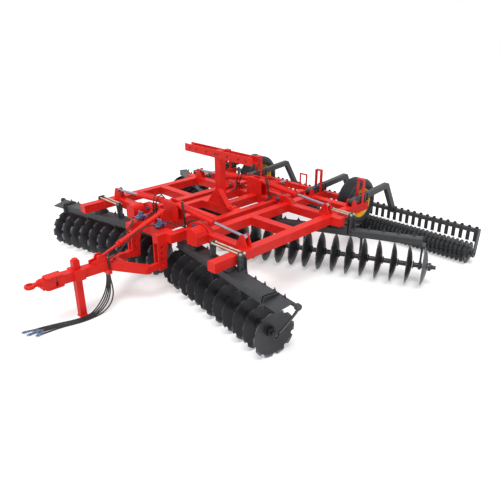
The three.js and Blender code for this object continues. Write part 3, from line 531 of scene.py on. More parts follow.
@dataclass
class Studio:
    """A white studio with a soft key lamp, and the camera at a standing person's raised eye."""

    eye: Point = (5.827, -5.278 + MAST_Y, 3.603)
    azimuth: float = 44.4
    elevation: float = 23.7
    lens: float = 36.58
    floor_size: float = 120.0

    def camera(self) -> None:
        """Makes the camera and looks through it."""
        turn, drop = math.radians(self.azimuth), math.radians(self.elevation)
        ahead = Vector((-math.sin(turn) * math.cos(drop), math.cos(turn) * math.cos(drop), -math.sin(drop)))
        data = bpy.data.cameras.new("camera")
        data.lens, data.sensor_width, data.clip_end = self.lens, 36.0, 200.0
        eye = bpy.data.objects.new("camera", data)
        eye.location = self.eye
        eye.rotation_euler = ahead.to_track_quat("-Z", "Y").to_euler()
        bpy.context.scene.collection.objects.link(eye)
        bpy.context.scene.camera = eye
        bpy.context.scene.view_settings.view_transform = "Standard"

    def lamps(self) -> None:
        """Hangs a broad sun and sets an even, pale surround."""
        sun = bpy.data.lights.new("key", "SUN")
        sun.energy, sun.angle = 1.9, math.radians(28)
        lamp = bpy.data.objects.new("key", sun)
        lamp.rotation_euler = Vector((-0.25, 0.35, -1)).to_track_quat("-Z", "Y").to_euler()
        bpy.context.scene.collection.objects.link(lamp)
        world = bpy.data.worlds.new("surround")
        bpy.context.scene.world = world
        world.use_nodes = True
        tree = world.node_tree
        tree.nodes.clear()
        seen = self.seen_directly(tree)
        level = add_node(tree, "ShaderNodeMapRange", Value=seen, To_Min=0.62, To_Max=1.0)
        glow = add_node(tree, "ShaderNodeBackground", Color=(1, 1, 1, 1), Strength=level.outputs["Result"])
        add_node(tree, "ShaderNodeOutputWorld", Surface=glow.outputs["Background"])

    def seen_directly(self, tree: bpy.types.NodeTree) -> bpy.types.NodeSocket:
        """A socket that is 1 for camera, glossy and transmission rays."""
        path = add_node(tree, "ShaderNodeLightPath")
        total = path.outputs["Is Camera Ray"]
        for name in ("Is Glossy Ray", "Is Transmission Ray"):
            both = add_node(tree, "ShaderNodeMath", {"operation": "MAXIMUM"})
            tree.links.new(total, both.inputs[0])
            tree.links.new(path.outputs[name], both.inputs[1])
            total = both.outputs[0]
        return total

    def floor(self) -> None:
        """Lays a white floor that keeps the machine's shadow."""
        deselect()
        bpy.ops.mesh.primitive_plane_add(size=self.floor_size)
        ground = bpy.context.object
        ground.name = "floor"
        made = bpy.data.materials.new("studio_paper")
        made.use_nodes = True
        tree = made.node_tree
        tree.nodes.clear()
        matt = add_node(tree, "ShaderNodeBsdfDiffuse", Color=(0.8, 0.8, 0.8, 1))
        level = add_node(tree, "ShaderNodeMapRange", Value=self.seen_directly(tree), To_Min=0.0, To_Max=0.32)
        glow = add_node(tree, "ShaderNodeEmission", Color=(1, 1, 1, 1), Strength=level.outputs["Result"])
        both = add_node(tree, "ShaderNodeAddShader")
        tree.links.new(matt.outputs[0], both.inputs[0])
        tree.links.new(glow.outputs[0], both.inputs[1])
        add_node(tree, "ShaderNodeOutputMaterial", Surface=both.outputs[0])
        ground.data.materials.append(made)


# ---------------------------------------------------------------------------------------------
# Free hoses
# ---------------------------------------------------------------------------------------------


@dataclass
class Hoses:
    """Five hydraulic hoses from the clip under the drawbar to their couplers on the floor."""

    diameter: float = 0.020
    lengths: tuple[float, ...] = (1.458, 1.364, 1.457, 1.363, 1.428)
    routes: list[list[Point]] = field(default_factory=lambda: [
        [(-.003, -2.160, .5047), (-.003, -2.162, .440), (0, -2.172, .370), (.006, -2.195, .295),
         (.014, -2.232, .222), (.024, -2.282, .155), (.036, -2.345, .096), (.054, -2.420, .049),
         (.070, -2.500, .020), (.076, -2.580, .0115), (.070, -2.680, .0115), (.040, -2.790, .0115),
         (-.004, -2.910, .0115), (-.042, -3.020, .0115), (-.072, -3.120, .0115), (-.092, -3.210, .013),
         (-.104, -3.285, .0175)],
        [(.019, -2.160, .5047), (.019, -2.162, .440), (.022, -2.170, .368), (.028, -2.188, .290),
         (.037, -2.220, .215), (.048, -2.266, .146), (.060, -2.328, .088), (.078, -2.405, .044),
         (.094, -2.490, .018), (.101, -2.580, .0115), (.095, -2.680, .0115), (.066, -2.790, .0115),
         (.024, -2.910, .0115), (-.012, -3.020, .0115), (-.038, -3.110, .012), (-.052, -3.180, .0175)],
        [(.041, -2.160, .5047), (.041, -2.161, .440), (.044, -2.166, .366), (.050, -2.180, .288),
         (.059, -2.208, .210), (.071, -2.252, .139), (.084, -2.314, .081), (.103, -2.392, .039),
         (.120, -2.482, .016), (.126, -2.580, .0115), (.120, -2.680, .0115), (.092, -2.790, .0115),
         (.052, -2.910, .0115), (.020, -3.020, .0115), (0, -3.120, .0115), (-.009, -3.200, .013),
         (-.012, -3.262, .0175)],
        [(.063, -2.160, .5047), (.063, -2.160, .440), (.066, -2.162, .364), (.072, -2.172, .284),
         (.082, -2.196, .204), (.095, -2.238, .132), (.109, -2.300, .075), (.128, -2.380, .035),
         (.145, -2.475, .015), (.151, -2.580, .0115), (.145, -2.680, .0115), (.118, -2.790, .0115),
         (.080, -2.910, .0115), (.052, -3.020, .0115), (.036, -3.100, .0125), (.030, -3.155, .0175)],
        [(.085, -2.160, .5047), (.085, -2.158, .440), (.090, -2.152, .366), (.099, -2.150, .290),
         (.111, -2.160, .214), (.126, -2.190, .144), (.142, -2.244, .084), (.160, -2.326, .040),
         (.172, -2.430, .016), (.179, -2.550, .0115), (.172, -2.670, .0115), (.146, -2.790, .0115),
         (.112, -2.910, .0115), (.092, -3.020, .0115), (.084, -3.120, .0125), (.082, -3.190, .0175)],
    ])

    def build(self) -> None:
        """Makes each hose and its coupler."""
        for number, route in enumerate(self.routes, start=1):
            points = [Vector((x, y + MAST_Y, z)) for x, y, z in route]
            hose = tube_along(f"hose_{number}", points, self.diameter)
            fit(hose, "drawbar", "hose_rubber", f"hydraulic_hose_{number}")
            coupler = self.coupler(number, points)

    def coupler(self, number: int, points: list[Vector]) -> bpy.types.Object:
        """A quick coupler: crimped sleeve, hexagon, knurled ring and nose."""
        ahead = (points[-1] - points[-2]).normalized()
        profile = [(.0003, 0), (.0003, .013), (.012, .014), (.014, .012), (.020, .014), (.022, .012),
                   (.028, .014), (.040, .014), (.042, .017), (.058, .017), (.060, .015), (.062, .017),
                   (.068, .017), (.070, .011), (.092, .011), (.095, .008), (.095, 0)]
        body = turned(f"quick_coupler_{number}", profile, 24)
        body.data.transform(along(tuple(points[-1]), tuple(ahead)))
        return fit(joined(body.name, [body]), "drawbar", "zinc", f"hose_coupler_{number}")


# ---------------------------------------------------------------------------------------------
# Disc gangs
# ---------------------------------------------------------------------------------------------


@dataclass
class DiscGang:
    """A row of dished discs on one axle, with spools between them.

    A notch's size, the ring that the notches' middles lie on and the painted rim highlight are in shares of
    the disc's radius.
    """

    end: End
    side: Side
    discs: int
    dish: float
    notches: int
    radius: float = 0.305
    pitch: float = 0.225
    thickness: float = 0.006
    spool: float = 0.038
    flange: float = 0.062
    rings: int = 10
    notch_size: float = 0.115
    notch_ring: float = 1.02
    # where the painted rim highlight begins, and over how much of the radius it reaches full
    wear_from: float = 0.92
    wear_over: float = 0.07

    def disc(self) -> bpy.types.Object:
        """One disc: a shallow spherical bowl, scalloped if it has notches.

        Returns:
            The disc, about X, with a painted highlight near its rim in a vertex attribute.
        """
        sphere = (self.radius ** 2 + self.dish ** 2) / (2 * abs(self.dish))
        sign = math.copysign(1, self.dish)
        bowl = []
        for ring in range(self.rings + 1):
            r = self.radius * ring / self.rings
            bowl.append((sign * (sphere - math.sqrt(sphere ** 2 - r ** 2)), r))
        half = self.thickness / 2
        near = [(x - half, r) for x, r in bowl[:-1]]
        far = [(x + half, r) for x, r in bowl[:-1]]
        piece = turned("disc", near + [bowl[-1]] + far[::-1], 48)
        if self.notches:
            self.scallop(piece)
        # A painted highlight on each vertex, from nothing to full towards the rim.
        wear = piece.data.attributes.new("wear", "FLOAT", "POINT")
        for vertex, value in zip(piece.data.vertices, wear.data):
            reach = math.hypot(vertex.co.y, vertex.co.z) / self.radius
            value.value = max(0.0, min(1.0, (reach - self.wear_from) / self.wear_over))
        return piece

    def scallop(self, piece: bpy.types.Object) -> None:
        """Cuts round notches into the rim."""
        cutter = bar("cutter", self.radius * self.notch_size, -0.2, 0.2, 14, 0.001)
        away = self.radius * self.notch_ring
        cutters = []
        for notch in range(self.notches):
            angle = math.tau * notch / self.notches
            spot = (0, away * math.cos(angle), away * math.sin(angle))
            cutters.append(placed(cutter, Matrix.Translation(spot)))
        tool = joined("cutters", cutters)
        cut = piece.modifiers.new("notches", "BOOLEAN")
        cut.operation, cut.object, cut.solver = "DIFFERENCE", tool, "EXACT"
        deselect()
        bpy.context.view_layer.objects.active = piece
        bpy.ops.object.modifier_apply(modifier="notches")
        discard(cutter, tool)

    def build(self) -> None:
        """Threads the discs and spools on the axle and puts the gang in its place."""
        name = f"{self.end.value}_{self.side.word}"
        chance = random.Random(self.discs + self.side.value)
        disc = self.disc()
        spool = turned("spool", [(.008, 0), (.008, self.flange), (.018, self.flange), (.030, self.spool),
                                 (.195, self.spool), (.207, self.flange), (.217, self.flange), (.217, 0)], 20)
        length = (self.discs - 1) * self.pitch
        pieces = []
        for index in range(self.discs):
            spin = Matrix.Rotation(chance.uniform(0, math.tau), 4, "X")
            pieces.append(placed(disc, Matrix.Translation((index * self.pitch, 0, 0)) @ spin))
            if index < self.discs - 1:
                pieces.append(placed(spool, Matrix.Translation((index * self.pitch, 0, 0))))
        pieces.append(bar("inner_washer", self.flange, -.045, -.004, 24))
        pieces.append(bar("inner_nut", .034, -.075, -.045, 6, .002))
        pieces.append(bar("outer_washer", self.flange, length + .004, length + .05, 24))
        pieces.append(bar("outer_nut", .036, length + .05, length + .072, 6, .002))
        pieces.append(bar("axle_end", .030, length + .07, length + .118, 20, .004))
        whole = joined(f"{name}_discs", pieces)
        discard(disc, spool)
        joint = JOINTS[f"{self.end.value}_gang_spin_{self.side.word}"]
        whole.data.transform(along(joint["pos_m"], joint["axis"]))
        fit(whole, f"{self.end.value}_gang_{self.side.word}", "disc_steel",
            f"{self.end.value}_disc_gang_{self.side.word}")


# ---------------------------------------------------------------------------------------------
# Wheels and rollers
# ---------------------------------------------------------------------------------------------


@dataclass
class Wheel:
    """A transport wheel: a finely ribbed tyre on a yellow rim."""

    side: Side
    radius: float = 0.420
    half_width: float = 0.145
    bead: float = 0.262
    groove: float = 0.009
    ribs: int = 7
    nuts: int = 8
    nut_circle: float = 0.11

    def build(self) -> None:
        """Makes the tyre and the rim."""
        joint = JOINTS[f"wheel_spin_{self.side.word}"]
        place = along(joint["pos_m"], (self.side.value, 0, 0))
        body = f"wheel_{self.side.word}"
        tyre = joined(f"ribbed_tyre_{self.side.word}", [turned("carcass", self.tyre_section(), 72)])
        tyre.data.transform(place)
        fit(tyre, body, "tyre", f"tyre_{self.side.word}")
        rim = joined(f"pressed_rim_{self.side.word}", self.rim_pieces())
        rim.data.transform(place)
        fit(rim, body, "rim_yellow", f"wheel_rim_{self.side.word}")

    def tyre_section(self) -> list[tuple[float, float]]:
        """The tyre's section: bead, bulging wall, and a tread with narrow grooves."""
        w, r, bead = self.half_width, self.radius, self.bead + .0003
        wall = [(w - .025, bead), (w - .010, bead + .022), (w - .002, bead + .050), (w, bead + .075),
                (w - .003, r - .060), (w - .006, r - .058), (w - .010, r - .034), (w - .030, r - .012)]
        tread_half = w - .045
        pitch = 2 * tread_half / self.ribs
        tread = []
        for rib in range(self.ribs):
            left = -tread_half + rib * pitch
            tread += [(left + .004, r - self.groove), (left + .006, r), (left + pitch - .006, r),
                      (left + pitch - .004, r - self.groove)]
        left_wall = [(-x, y) for x, y in wall]
        return left_wall + tread + wall[::-1] + [left_wall[0]]

    def rim_pieces(self) -> list[bpy.types.Object]:
        """The pressed rim, its hub and the wheel nuts."""
        w, r = self.half_width, self.bead
        shell = turned("shell", [(-.10, .034), (-.10, .070), (.020, .070), (.028, .150), (.035, .215),
                                 (.010, .232), (-w + .030, r - .012), (-w + .022, r - .002), (-w + .026, r),
                                 (w - .026, r), (w - .020, r - .003), (w - .022, r - .012),
                                 (w - .034, r - .016), (.066, .232), (.062, .222), (.050, .150),
                                 (.042, .078), (.083, .070), (.085, .064), (.085, 0), (.048, 0),
                                 (.048, .034), (-.10, .034)], 64)
        nut = bar("nut", .014, .042, .066, 6, .002)
        nuts = []
        for index in range(self.nuts):
            angle = math.tau * index / self.nuts
            spot = (0, self.nut_circle * math.cos(angle), self.nut_circle * math.sin(angle))
            nuts.append(placed(nut, Matrix.Translation(spot)))
        discard(nut)
        return [shell, *nuts]


@dataclass
class PackerRoller:
    """A tube with toothed rings, on stub axles. The rings' valleys are in shares of their radius."""

    side: Side
    rings: int = 38
    ring_width: float = 0.014
    teeth: int = 22
    radius: float = 0.185
    valley: float = 0.83
    tube: float = 0.095
    stub: float = 0.042
    stub_radius: float = 0.024

    def ring(self) -> bpy.types.Object:
        """One ring, its rim drawn in between the teeth."""
        deselect()
        bpy.ops.mesh.primitive_cylinder_add(vertices=2 * self.teeth, radius=self.radius,
                                            depth=self.ring_width, rotation=(0, math.pi / 2, 0))
        piece = settle(bpy.context.object)
        piece.name = "ring"
        for vertex in piece.data.vertices:
            turn = math.atan2(vertex.co.z, vertex.co.y) / math.tau * 2 * self.teeth
            vertex.select = round(turn) % 2 == 1
        for polygon in piece.data.polygons:
            polygon.select = False
        for edge in piece.data.edges:
            edge.select = False
        bpy.ops.object.mode_set(mode="EDIT")
        bpy.context.tool_settings.mesh_select_mode = (True, False, False)
        bpy.ops.transform.resize(value=(1.0, self.valley, self.valley), center_override=(0, 0, 0))
        bpy.ops.object.mode_set(mode="OBJECT")
        return piece

    def build(self) -> None:
        """Threads the rings on the tube."""
        low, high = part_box(f"packer_roller_{self.side.word}")
        length = high.x - low.x - 2 * self.stub
        ring = self.ring()
        pitch = length / self.rings
        stub, thin = self.stub, self.stub_radius
        drum = turned("drum", [(-stub, 0), (-stub, thin), (0, thin), (0, self.tube), (length, self.tube),
                               (length, thin), (length + stub, thin), (length + stub, 0)], 32)
        pieces = [drum]
        for index in range(self.rings):
            turn = Matrix.Rotation(math.tau * index * 3 / self.rings, 4, "X")
            pieces.append(placed(ring, Matrix.Translation(((index + .5) * pitch, 0, 0)) @ turn))
        whole = joined(f"toothed_roller_{self.side.word}", pieces)
        discard(ring)
        inner = low.x + self.stub if self.side is Side.LEFT else high.x - self.stub
        whole.data.transform(along((inner, (low.y + high.y) / 2, self.radius), (self.side.value, 0, 0)))
        fit(whole, f"roller_{self.side.word}", "charcoal_paint", f"packer_roller_{self.side.word}")


# ---------------------------------------------------------------------------------------------
# Cylinders
# ---------------------------------------------------------------------------------------------


@dataclass
class Cylinder:
    """A hydraulic cylinder between two pins: a painted barrel and a chromed rod."""

    barrel_node: str
    rod_node: str
    pivot: str
    stroke: str
    eye_radius: float
    barrel_length: float
    radius: float
    rod: float
    eye_width: tuple[float, float]
    rod_from: float
    bore_from: float = 0.15

    def build(self) -> None:
        """Makes the barrel and the rod on the line between the pins."""
        place = along(JOINTS[self.pivot]["pos_m"], JOINTS[self.stroke]["axis"])
        reach = self.reach()
        stop, r, inner = self.barrel_length, self.radius, self.rod + .001
        tube = turned("tube", [(.02, 0), (.02, r - .006), (.028, r - .003), (stop - .055, r - .003),
                               (stop - .052, r), (stop - .003, r), (stop, r - .004), (stop, inner),
                               (self.bore_from, inner), (self.bore_from, 0)], 36)
        pipe = bar("pipe", .007, .14, stop - .04, 12, .001)
        pipe.data.transform(Matrix.Translation((0, 0, r + .009)))
        ports = [block("port", (at - .016, -.014, r - .008), (at + .016, .014, r + .018), .003)
                 for at in (.12, stop - .035)]
        eye = self.eye(0, r - .004, self.eye_width[0])
        barrel = joined(f"{self.barrel_node}_shell", [tube, eye, pipe, *ports])
        barrel.data.transform(place)
        fit(barrel, BODY_OF[self.barrel_node], "red_paint", self.barrel_node)
        shaft = bar("shaft", self.rod, self.rod_from, reach - .02, 32)
        shown = joined(f"{self.rod_node}_shaft", [shaft, self.eye(reach, self.rod * 1.65, self.eye_width[1])])
        shown.data.transform(place)
        fit(shown, BODY_OF[self.rod_node], "chrome", self.rod_node)

    def reach(self) -> float:
        """How far the rod's eye is from the barrel's pin, from the rod's own box."""
        axis, base = Vector(JOINTS[self.stroke]["axis"]), Vector(JOINTS[self.pivot]["pos_m"])
        main = max(range(3), key=lambda index: abs(axis[index]))
        low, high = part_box(self.rod_node)
        eye = high[main] - self.eye_radius if axis[main] > 0 else low[main] + self.eye_radius
        return (eye - base[main]) / axis[main]

    def eye(self, at: float, radius: float, width: float) -> bpy.types.Object:
        """A pierced eye across the cylinder at a distance along it."""
        ring = pierced("eye", width / 2, radius * 0.5, radius, .003)
        ring.data.transform(Matrix.Translation((at, 0, 0)) @ Matrix.Rotation(math.pi / 2, 4, "Z"))
        return ring


# ---------------------------------------------------------------------------------------------
# Plain frame nodes
# ---------------------------------------------------------------------------------------------


@dataclass
class FrameFinish:
    """The welded frame: each node keeps its shape, with its edges eased and its paint on."""

    edge: float = 0.004

    def build(self) -> None:
        """Paints every node that is still shown."""
        for name, node in frame["nodes"].items():
            node.data.materials.clear()
            node.data.materials.append(MATERIALS[SLOT_OF[name]])
            if node.hide_render:
                continue
            weld = node.modifiers.new("weld", "WELD")
            weld.merge_threshold = 0.00005
            ease = node.modifiers.new("ease", "BEVEL")
            ease.width, ease.segments, ease.limit_method = self.edge, 2, "ANGLE"
            ease.angle_limit, ease.use_clamp_overlap = math.radians(38), True


# ---------------------------------------------------------------------------------------------
# Gang beams and their tie rods
# ---------------------------------------------------------------------------------------------


@dataclass
class GangBeam:
    """A gang's box beam with hangers, bearings, saddles, and the clamp that ties it to the wing.

    Places along the beam are measured from the inner disc. Saddles, clamp and anchor are in the machine's
    frame, with Y taken from the mast. Where the beam ends in an open bracket, outer is the outer disc's
    place and overhang says how far the rail runs past it. The top plate overhangs the rear side by deck.
    """

    end: End
    start: float
    stop: float
    hangers: tuple[float, ...]
    saddles: tuple[tuple[float, float], ...]
    clamp: tuple[float, float]
    anchor: float
    outer: float | None = None
    deck: float = 0.0
    overhang: float = 0.200
    half: float = 0.075
    bottom: float = 0.650
    top: float = 0.750
    hub: float = 0.305
    stud_pitch: float = 0.225
    rod_height: float = 0.992

    def build(self) -> None:
        """Makes the left beam with its clamp and rods, and mirrors them."""
        end = self.end.value
        joint = JOINTS[f"{end}_gang_spin_left"]
        place = along(joint["pos_m"], joint["axis"])
        parts = [self.tube(), *self.hanger_parts(), *self.studs()]
        if self.outer is not None:
            parts += self.outer_end()
        for part in parts:
            part.data.transform(place)
        parts += self.saddle_parts()
        both_sides(f"{end}_beam", parts, "wing", "charcoal_paint", f"{end}_gang_beam")
        both_sides(f"{end}_clamp", self.clamp_parts(), "wing", "charcoal_paint", f"{end}_tie_rods")
        both_sides(f"{end}_rods", self.rod_parts(), "wing", "rod_plating")
        both_sides(f"{end}_rod_anchor", self.anchor_parts(), "wing", "charcoal_paint")

    def tube(self) -> bpy.types.Object:
        """The box beam, with a rolled front edge and a closing plate at each end."""
        low, high = self.bottom - self.hub, self.top - self.hub
        whole = [block("tube", (self.start, -self.half, low), (self.stop, self.half, high), .008),
                 block("edge", (self.start + .02, -self.half - .004, high - .034),
                       (self.stop - .02, -self.half + .030, high + .004), .003)]
        if self.deck:
            whole.append(block("deck", (self.start, -self.half, high - .004),
                               (self.stop + .02, self.half + self.deck, high + .008), .003))
        for at in (self.start - .003, self.stop - .007):
            whole.append(block("cap", (at, -self.half - .006, low - .006),
                               (at + .010, self.half + .006, high + .006), .002))
        return joined("tube", whole)

    def hanger_parts(self) -> list[bpy.types.Object]:
        """A cast hanger at each bearing, with the ring that holds the axle."""
        low = self.bottom - self.hub
        parts = []
        for at in self.hangers:
            outline = [(-.064, low + .005), *sweep((-.050, low - .02), (-.028, .16), (-.048, .046)),
                       (.048, .046), *sweep((.048, .050), (.028, .16), (.050, low - .02)),
                       (.064, low + .005)]
            parts.append(flat_plate("hanger", outline, at, .030))
            parts.append(flat_plate("foot", [(-.072, low - .012), (-.072, low + .004), (.072, low + .004),
                                             (.072, low - .012)], at, .090))
            parts.append(self.ring(at, .062, .022))
        return parts

    def ring(self, at: float, radius: float, half: float) -> bpy.types.Object:
        """A bearing's round housing at a place along the axle."""
        ring = pierced("ring", half, .043, radius, .004)
        ring.data.transform(Matrix.Translation((at, 0, 0)))
        return ring

    def studs(self) -> list[bpy.types.Object]:
        """Threaded studs with nuts and tabs that stand along the beam's rear edge."""
        high = self.top - self.hub
        stud = bar("stud", .007, high - .05, high + .042, 10, .001)
        nut = bar("nut", .015, high + .006, high + .020, 6, .002)
        parts = []
        first, edge = self.start + .10, self.half + self.deck
        reach = self.stop if self.outer is None else self.outer
        for index in range(int((reach - first) / self.stud_pitch) + 1):
            at = first + index * self.stud_pitch
            spot = Matrix.Translation((at, edge + .004, 0))
            parts += [placed(stud, upright(spot)), placed(nut, upright(spot))]
            parts.append(block("tab", (at - .026, edge - .010, high - .030),
                               (at + .026, edge + .004, high + .012), .002))
        discard(stud, nut)
        return parts

    def outer_end(self) -> list[bpy.types.Object]:
        """Past the box beam: a two-plate bracket, a guard plate, and a slim arm down to the outer hub."""
        high, at, rear = self.top - self.hub, self.outer, self.half + self.deck
        tip, lean = at + self.overhang, self.overhang / (self.top - self.hub - .060)
        cheek = [(-.105, high - .120), (-.105, high - .030), (-.085, high + .036), (rear - .015, high + .030),
                 (rear + .005, high - .020), (rear - .010, high - .090)]
        parts = [flat_plate("cheek", cheek, self.stop + gap, .012) for gap in (.010, .052)]
        parts.append(block("bolt_bar", (self.stop + .01, -.098, high - .100),
                           (self.stop + .06, -.082, high - .060), .003))
        guard = [(-.110, high - .050), (-.110, high - .038), (rear - .015, high + .004),
                 (rear - .015, high - .008)]
        parts.append(flat_plate("guard", guard, (self.stop + .06 + tip - .07) / 2, tip - .13 - self.stop))
        rail = bar("rail", .024, self.stop, tip + .020, 20, .004)
        rail.data.transform(Matrix.Translation((0, rear, high - .020)))
        knob = bar("knob", .042, tip - .026, tip + .030, 20, .006)
        knob.data.transform(Matrix.Translation((0, rear, high - .020)))
        outline = [*sweep((rear - .022, high - .045), (.112, .230), (.026, .050)), (.050, .020),
                   *sweep((.056, .026), (.150, .215), (rear + .022, high - .030))]
        arm = flat_plate("arm", outline, at, .024)
        shear = Matrix(((1, 0, lean, 0), (0, 1, 0, 0), (0, 0, 1, 0), (0, 0, 0, 1)))  # outward as it rises
        arm.data.transform(shear)
        parts += [rail, knob, arm, self.ring(at, .056, .012)]
        return parts

    def saddle_parts(self) -> list[bpy.types.Object]:
        """Packing blocks between the beam and the wing, each with four bolts."""
        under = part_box("wing_frame_left")[0].z - .0005
        bolt = bar("bolt", .015, 0, .016, 6, .002)
        parts = []
        for x, y in self.saddles:
            y += MAST_Y
            parts.append(block("saddle", (x - .065, y - .060, self.top - .010),
                               (x + .065, y + .060, under), .006))
            for dx in (-.042, .042):
                for face in (-1, 1):
                    spot = Matrix.Translation((x + dx, y + face * .058, (self.top + under) / 2))
                    parts.append(placed(bolt, crosswise(spot, face)))
        discard(bolt)
        return parts

    def clamp_parts(self) -> list[bpy.types.Object]:
        """The bracket beside the wing's outer beam: a chamfered plate between two flanges."""
        x, y = self.clamp[0], self.clamp[1] + MAST_Y
        face = [(y - .064, self.bottom + .030), (y - .064, .985), (y - .046, 1.016), (y + .046, 1.016),
                (y + .064, .985), (y + .064, self.bottom + .030)]
        parts = [flat_plate("face", face, x + .013, .026)]
        for side in (-1, 1):
            edge = y + side * .058
            parts.append(block("flange", (x + .004, edge - .006, self.bottom + .035),
                               (x + .058, edge + .006, .930), .003))
        parts.append(block("shelf", (x + .004, y - .062, self.top + .002),
                           (x + .070, y + .062, self.top + .016), .003))
        bolt = bar("bolt", .014, x + .024, x + .040, 6, .002)
        for height in (.800, .870):
            parts.append(placed(bolt, Matrix.Translation((0, y, height))))
        discard(bolt)
        return parts

    def rod_parts(self) -> list[bpy.types.Object]:
        """Two tie rods with a nut and washer at each end."""
        x, y = self.clamp[0], self.clamp[1] + MAST_Y
        parts = []
        for offset in (-.034, .034):
            for piece in (bar("rod", .011, self.anchor - .02, x + .052, 14, .002),
                          bar("washer", .021, x + .026, x + .030, 18, .001),
                          bar("nut", .018, x + .030, x + .046, 6, .002),
                          bar("nut", .018, self.anchor + .014, self.anchor + .030, 6, .002)):
                piece.data.transform(Matrix.Translation((0, y + offset, self.rod_height)))
                parts.append(piece)
        return parts

    def anchor_parts(self) -> list[bpy.types.Object]:
        """The tapered plate on the beam that the tie rods pull on, with its stiffener."""
        x, y = self.anchor, self.clamp[1] + MAST_Y
        plate = [(y - .036, self.top - .008), (y - .052, .950), (y - .052, 1.000), (y - .040, 1.012),
                 (y + .040, 1.012), (y + .052, 1.000), (y + .052, .950), (y + .036, self.top - .008)]
        return [flat_plate("anchor", plate, x, .026),
                block("stiffener", (x - .070, y - .008, self.top - .004), (x - .008, y + .008, .880), .003)]


# ---------------------------------------------------------------------------------------------
# Valves, and the hoses that the machine holds
# ---------------------------------------------------------------------------------------------


@dataclass
class Valves:
    """A cluster of hydraulic valves on the front cross beam: manifold, cartridges and port fittings."""

    side: Side
    half_width: float = 0.052

    def build(self) -> None:
        """Makes the cluster where its node stands."""
        low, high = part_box(f"valve_block_{self.side.word}")
        x, y, z = (low.x + high.x) / 2, (low.y + high.y) / 2, low.z
        parts = [block("foot", (x - .030, y - .026, z), (x + .030, y + .026, z + .024), .003),
                 block("manifold", (x - self.half_width, y - .040, z + .022),
                       (x + self.half_width, y + .040, z + .078), .004)]
        fitting = turned("fitting", [(0, 0), (0, .016), (.010, .017), (.018, .017), (.020, .012),
                                     (.030, .012), (.032, .015), (.052, .015), (.056, .010), (.056, 0)], 6)
        cartridge = turned("cartridge", [(0, 0), (0, .017), (.012, .017), (.014, .012), (.040, .012),
                                         (.042, .016), (.054, .016), (.058, .010), (.058, 0)], 16)
        for index in (-1, 0, 1):
            spot = Matrix.Translation((x + index * PORT_PITCH, y, z + .078))
            parts.append(placed(cartridge, upright(spot)))
            for face in (-1, 1):
                port = Matrix.Translation((x + index * PORT_PITCH, y + face * .040, z + .052))
                parts.append(placed(fitting, crosswise(port, face)))
        discard(fitting, cartridge)
        whole = joined(f"valve_cluster_{self.side.word}", parts)
        fit(whole, "chassis", "zinc", f"valve_block_{self.side.word}")


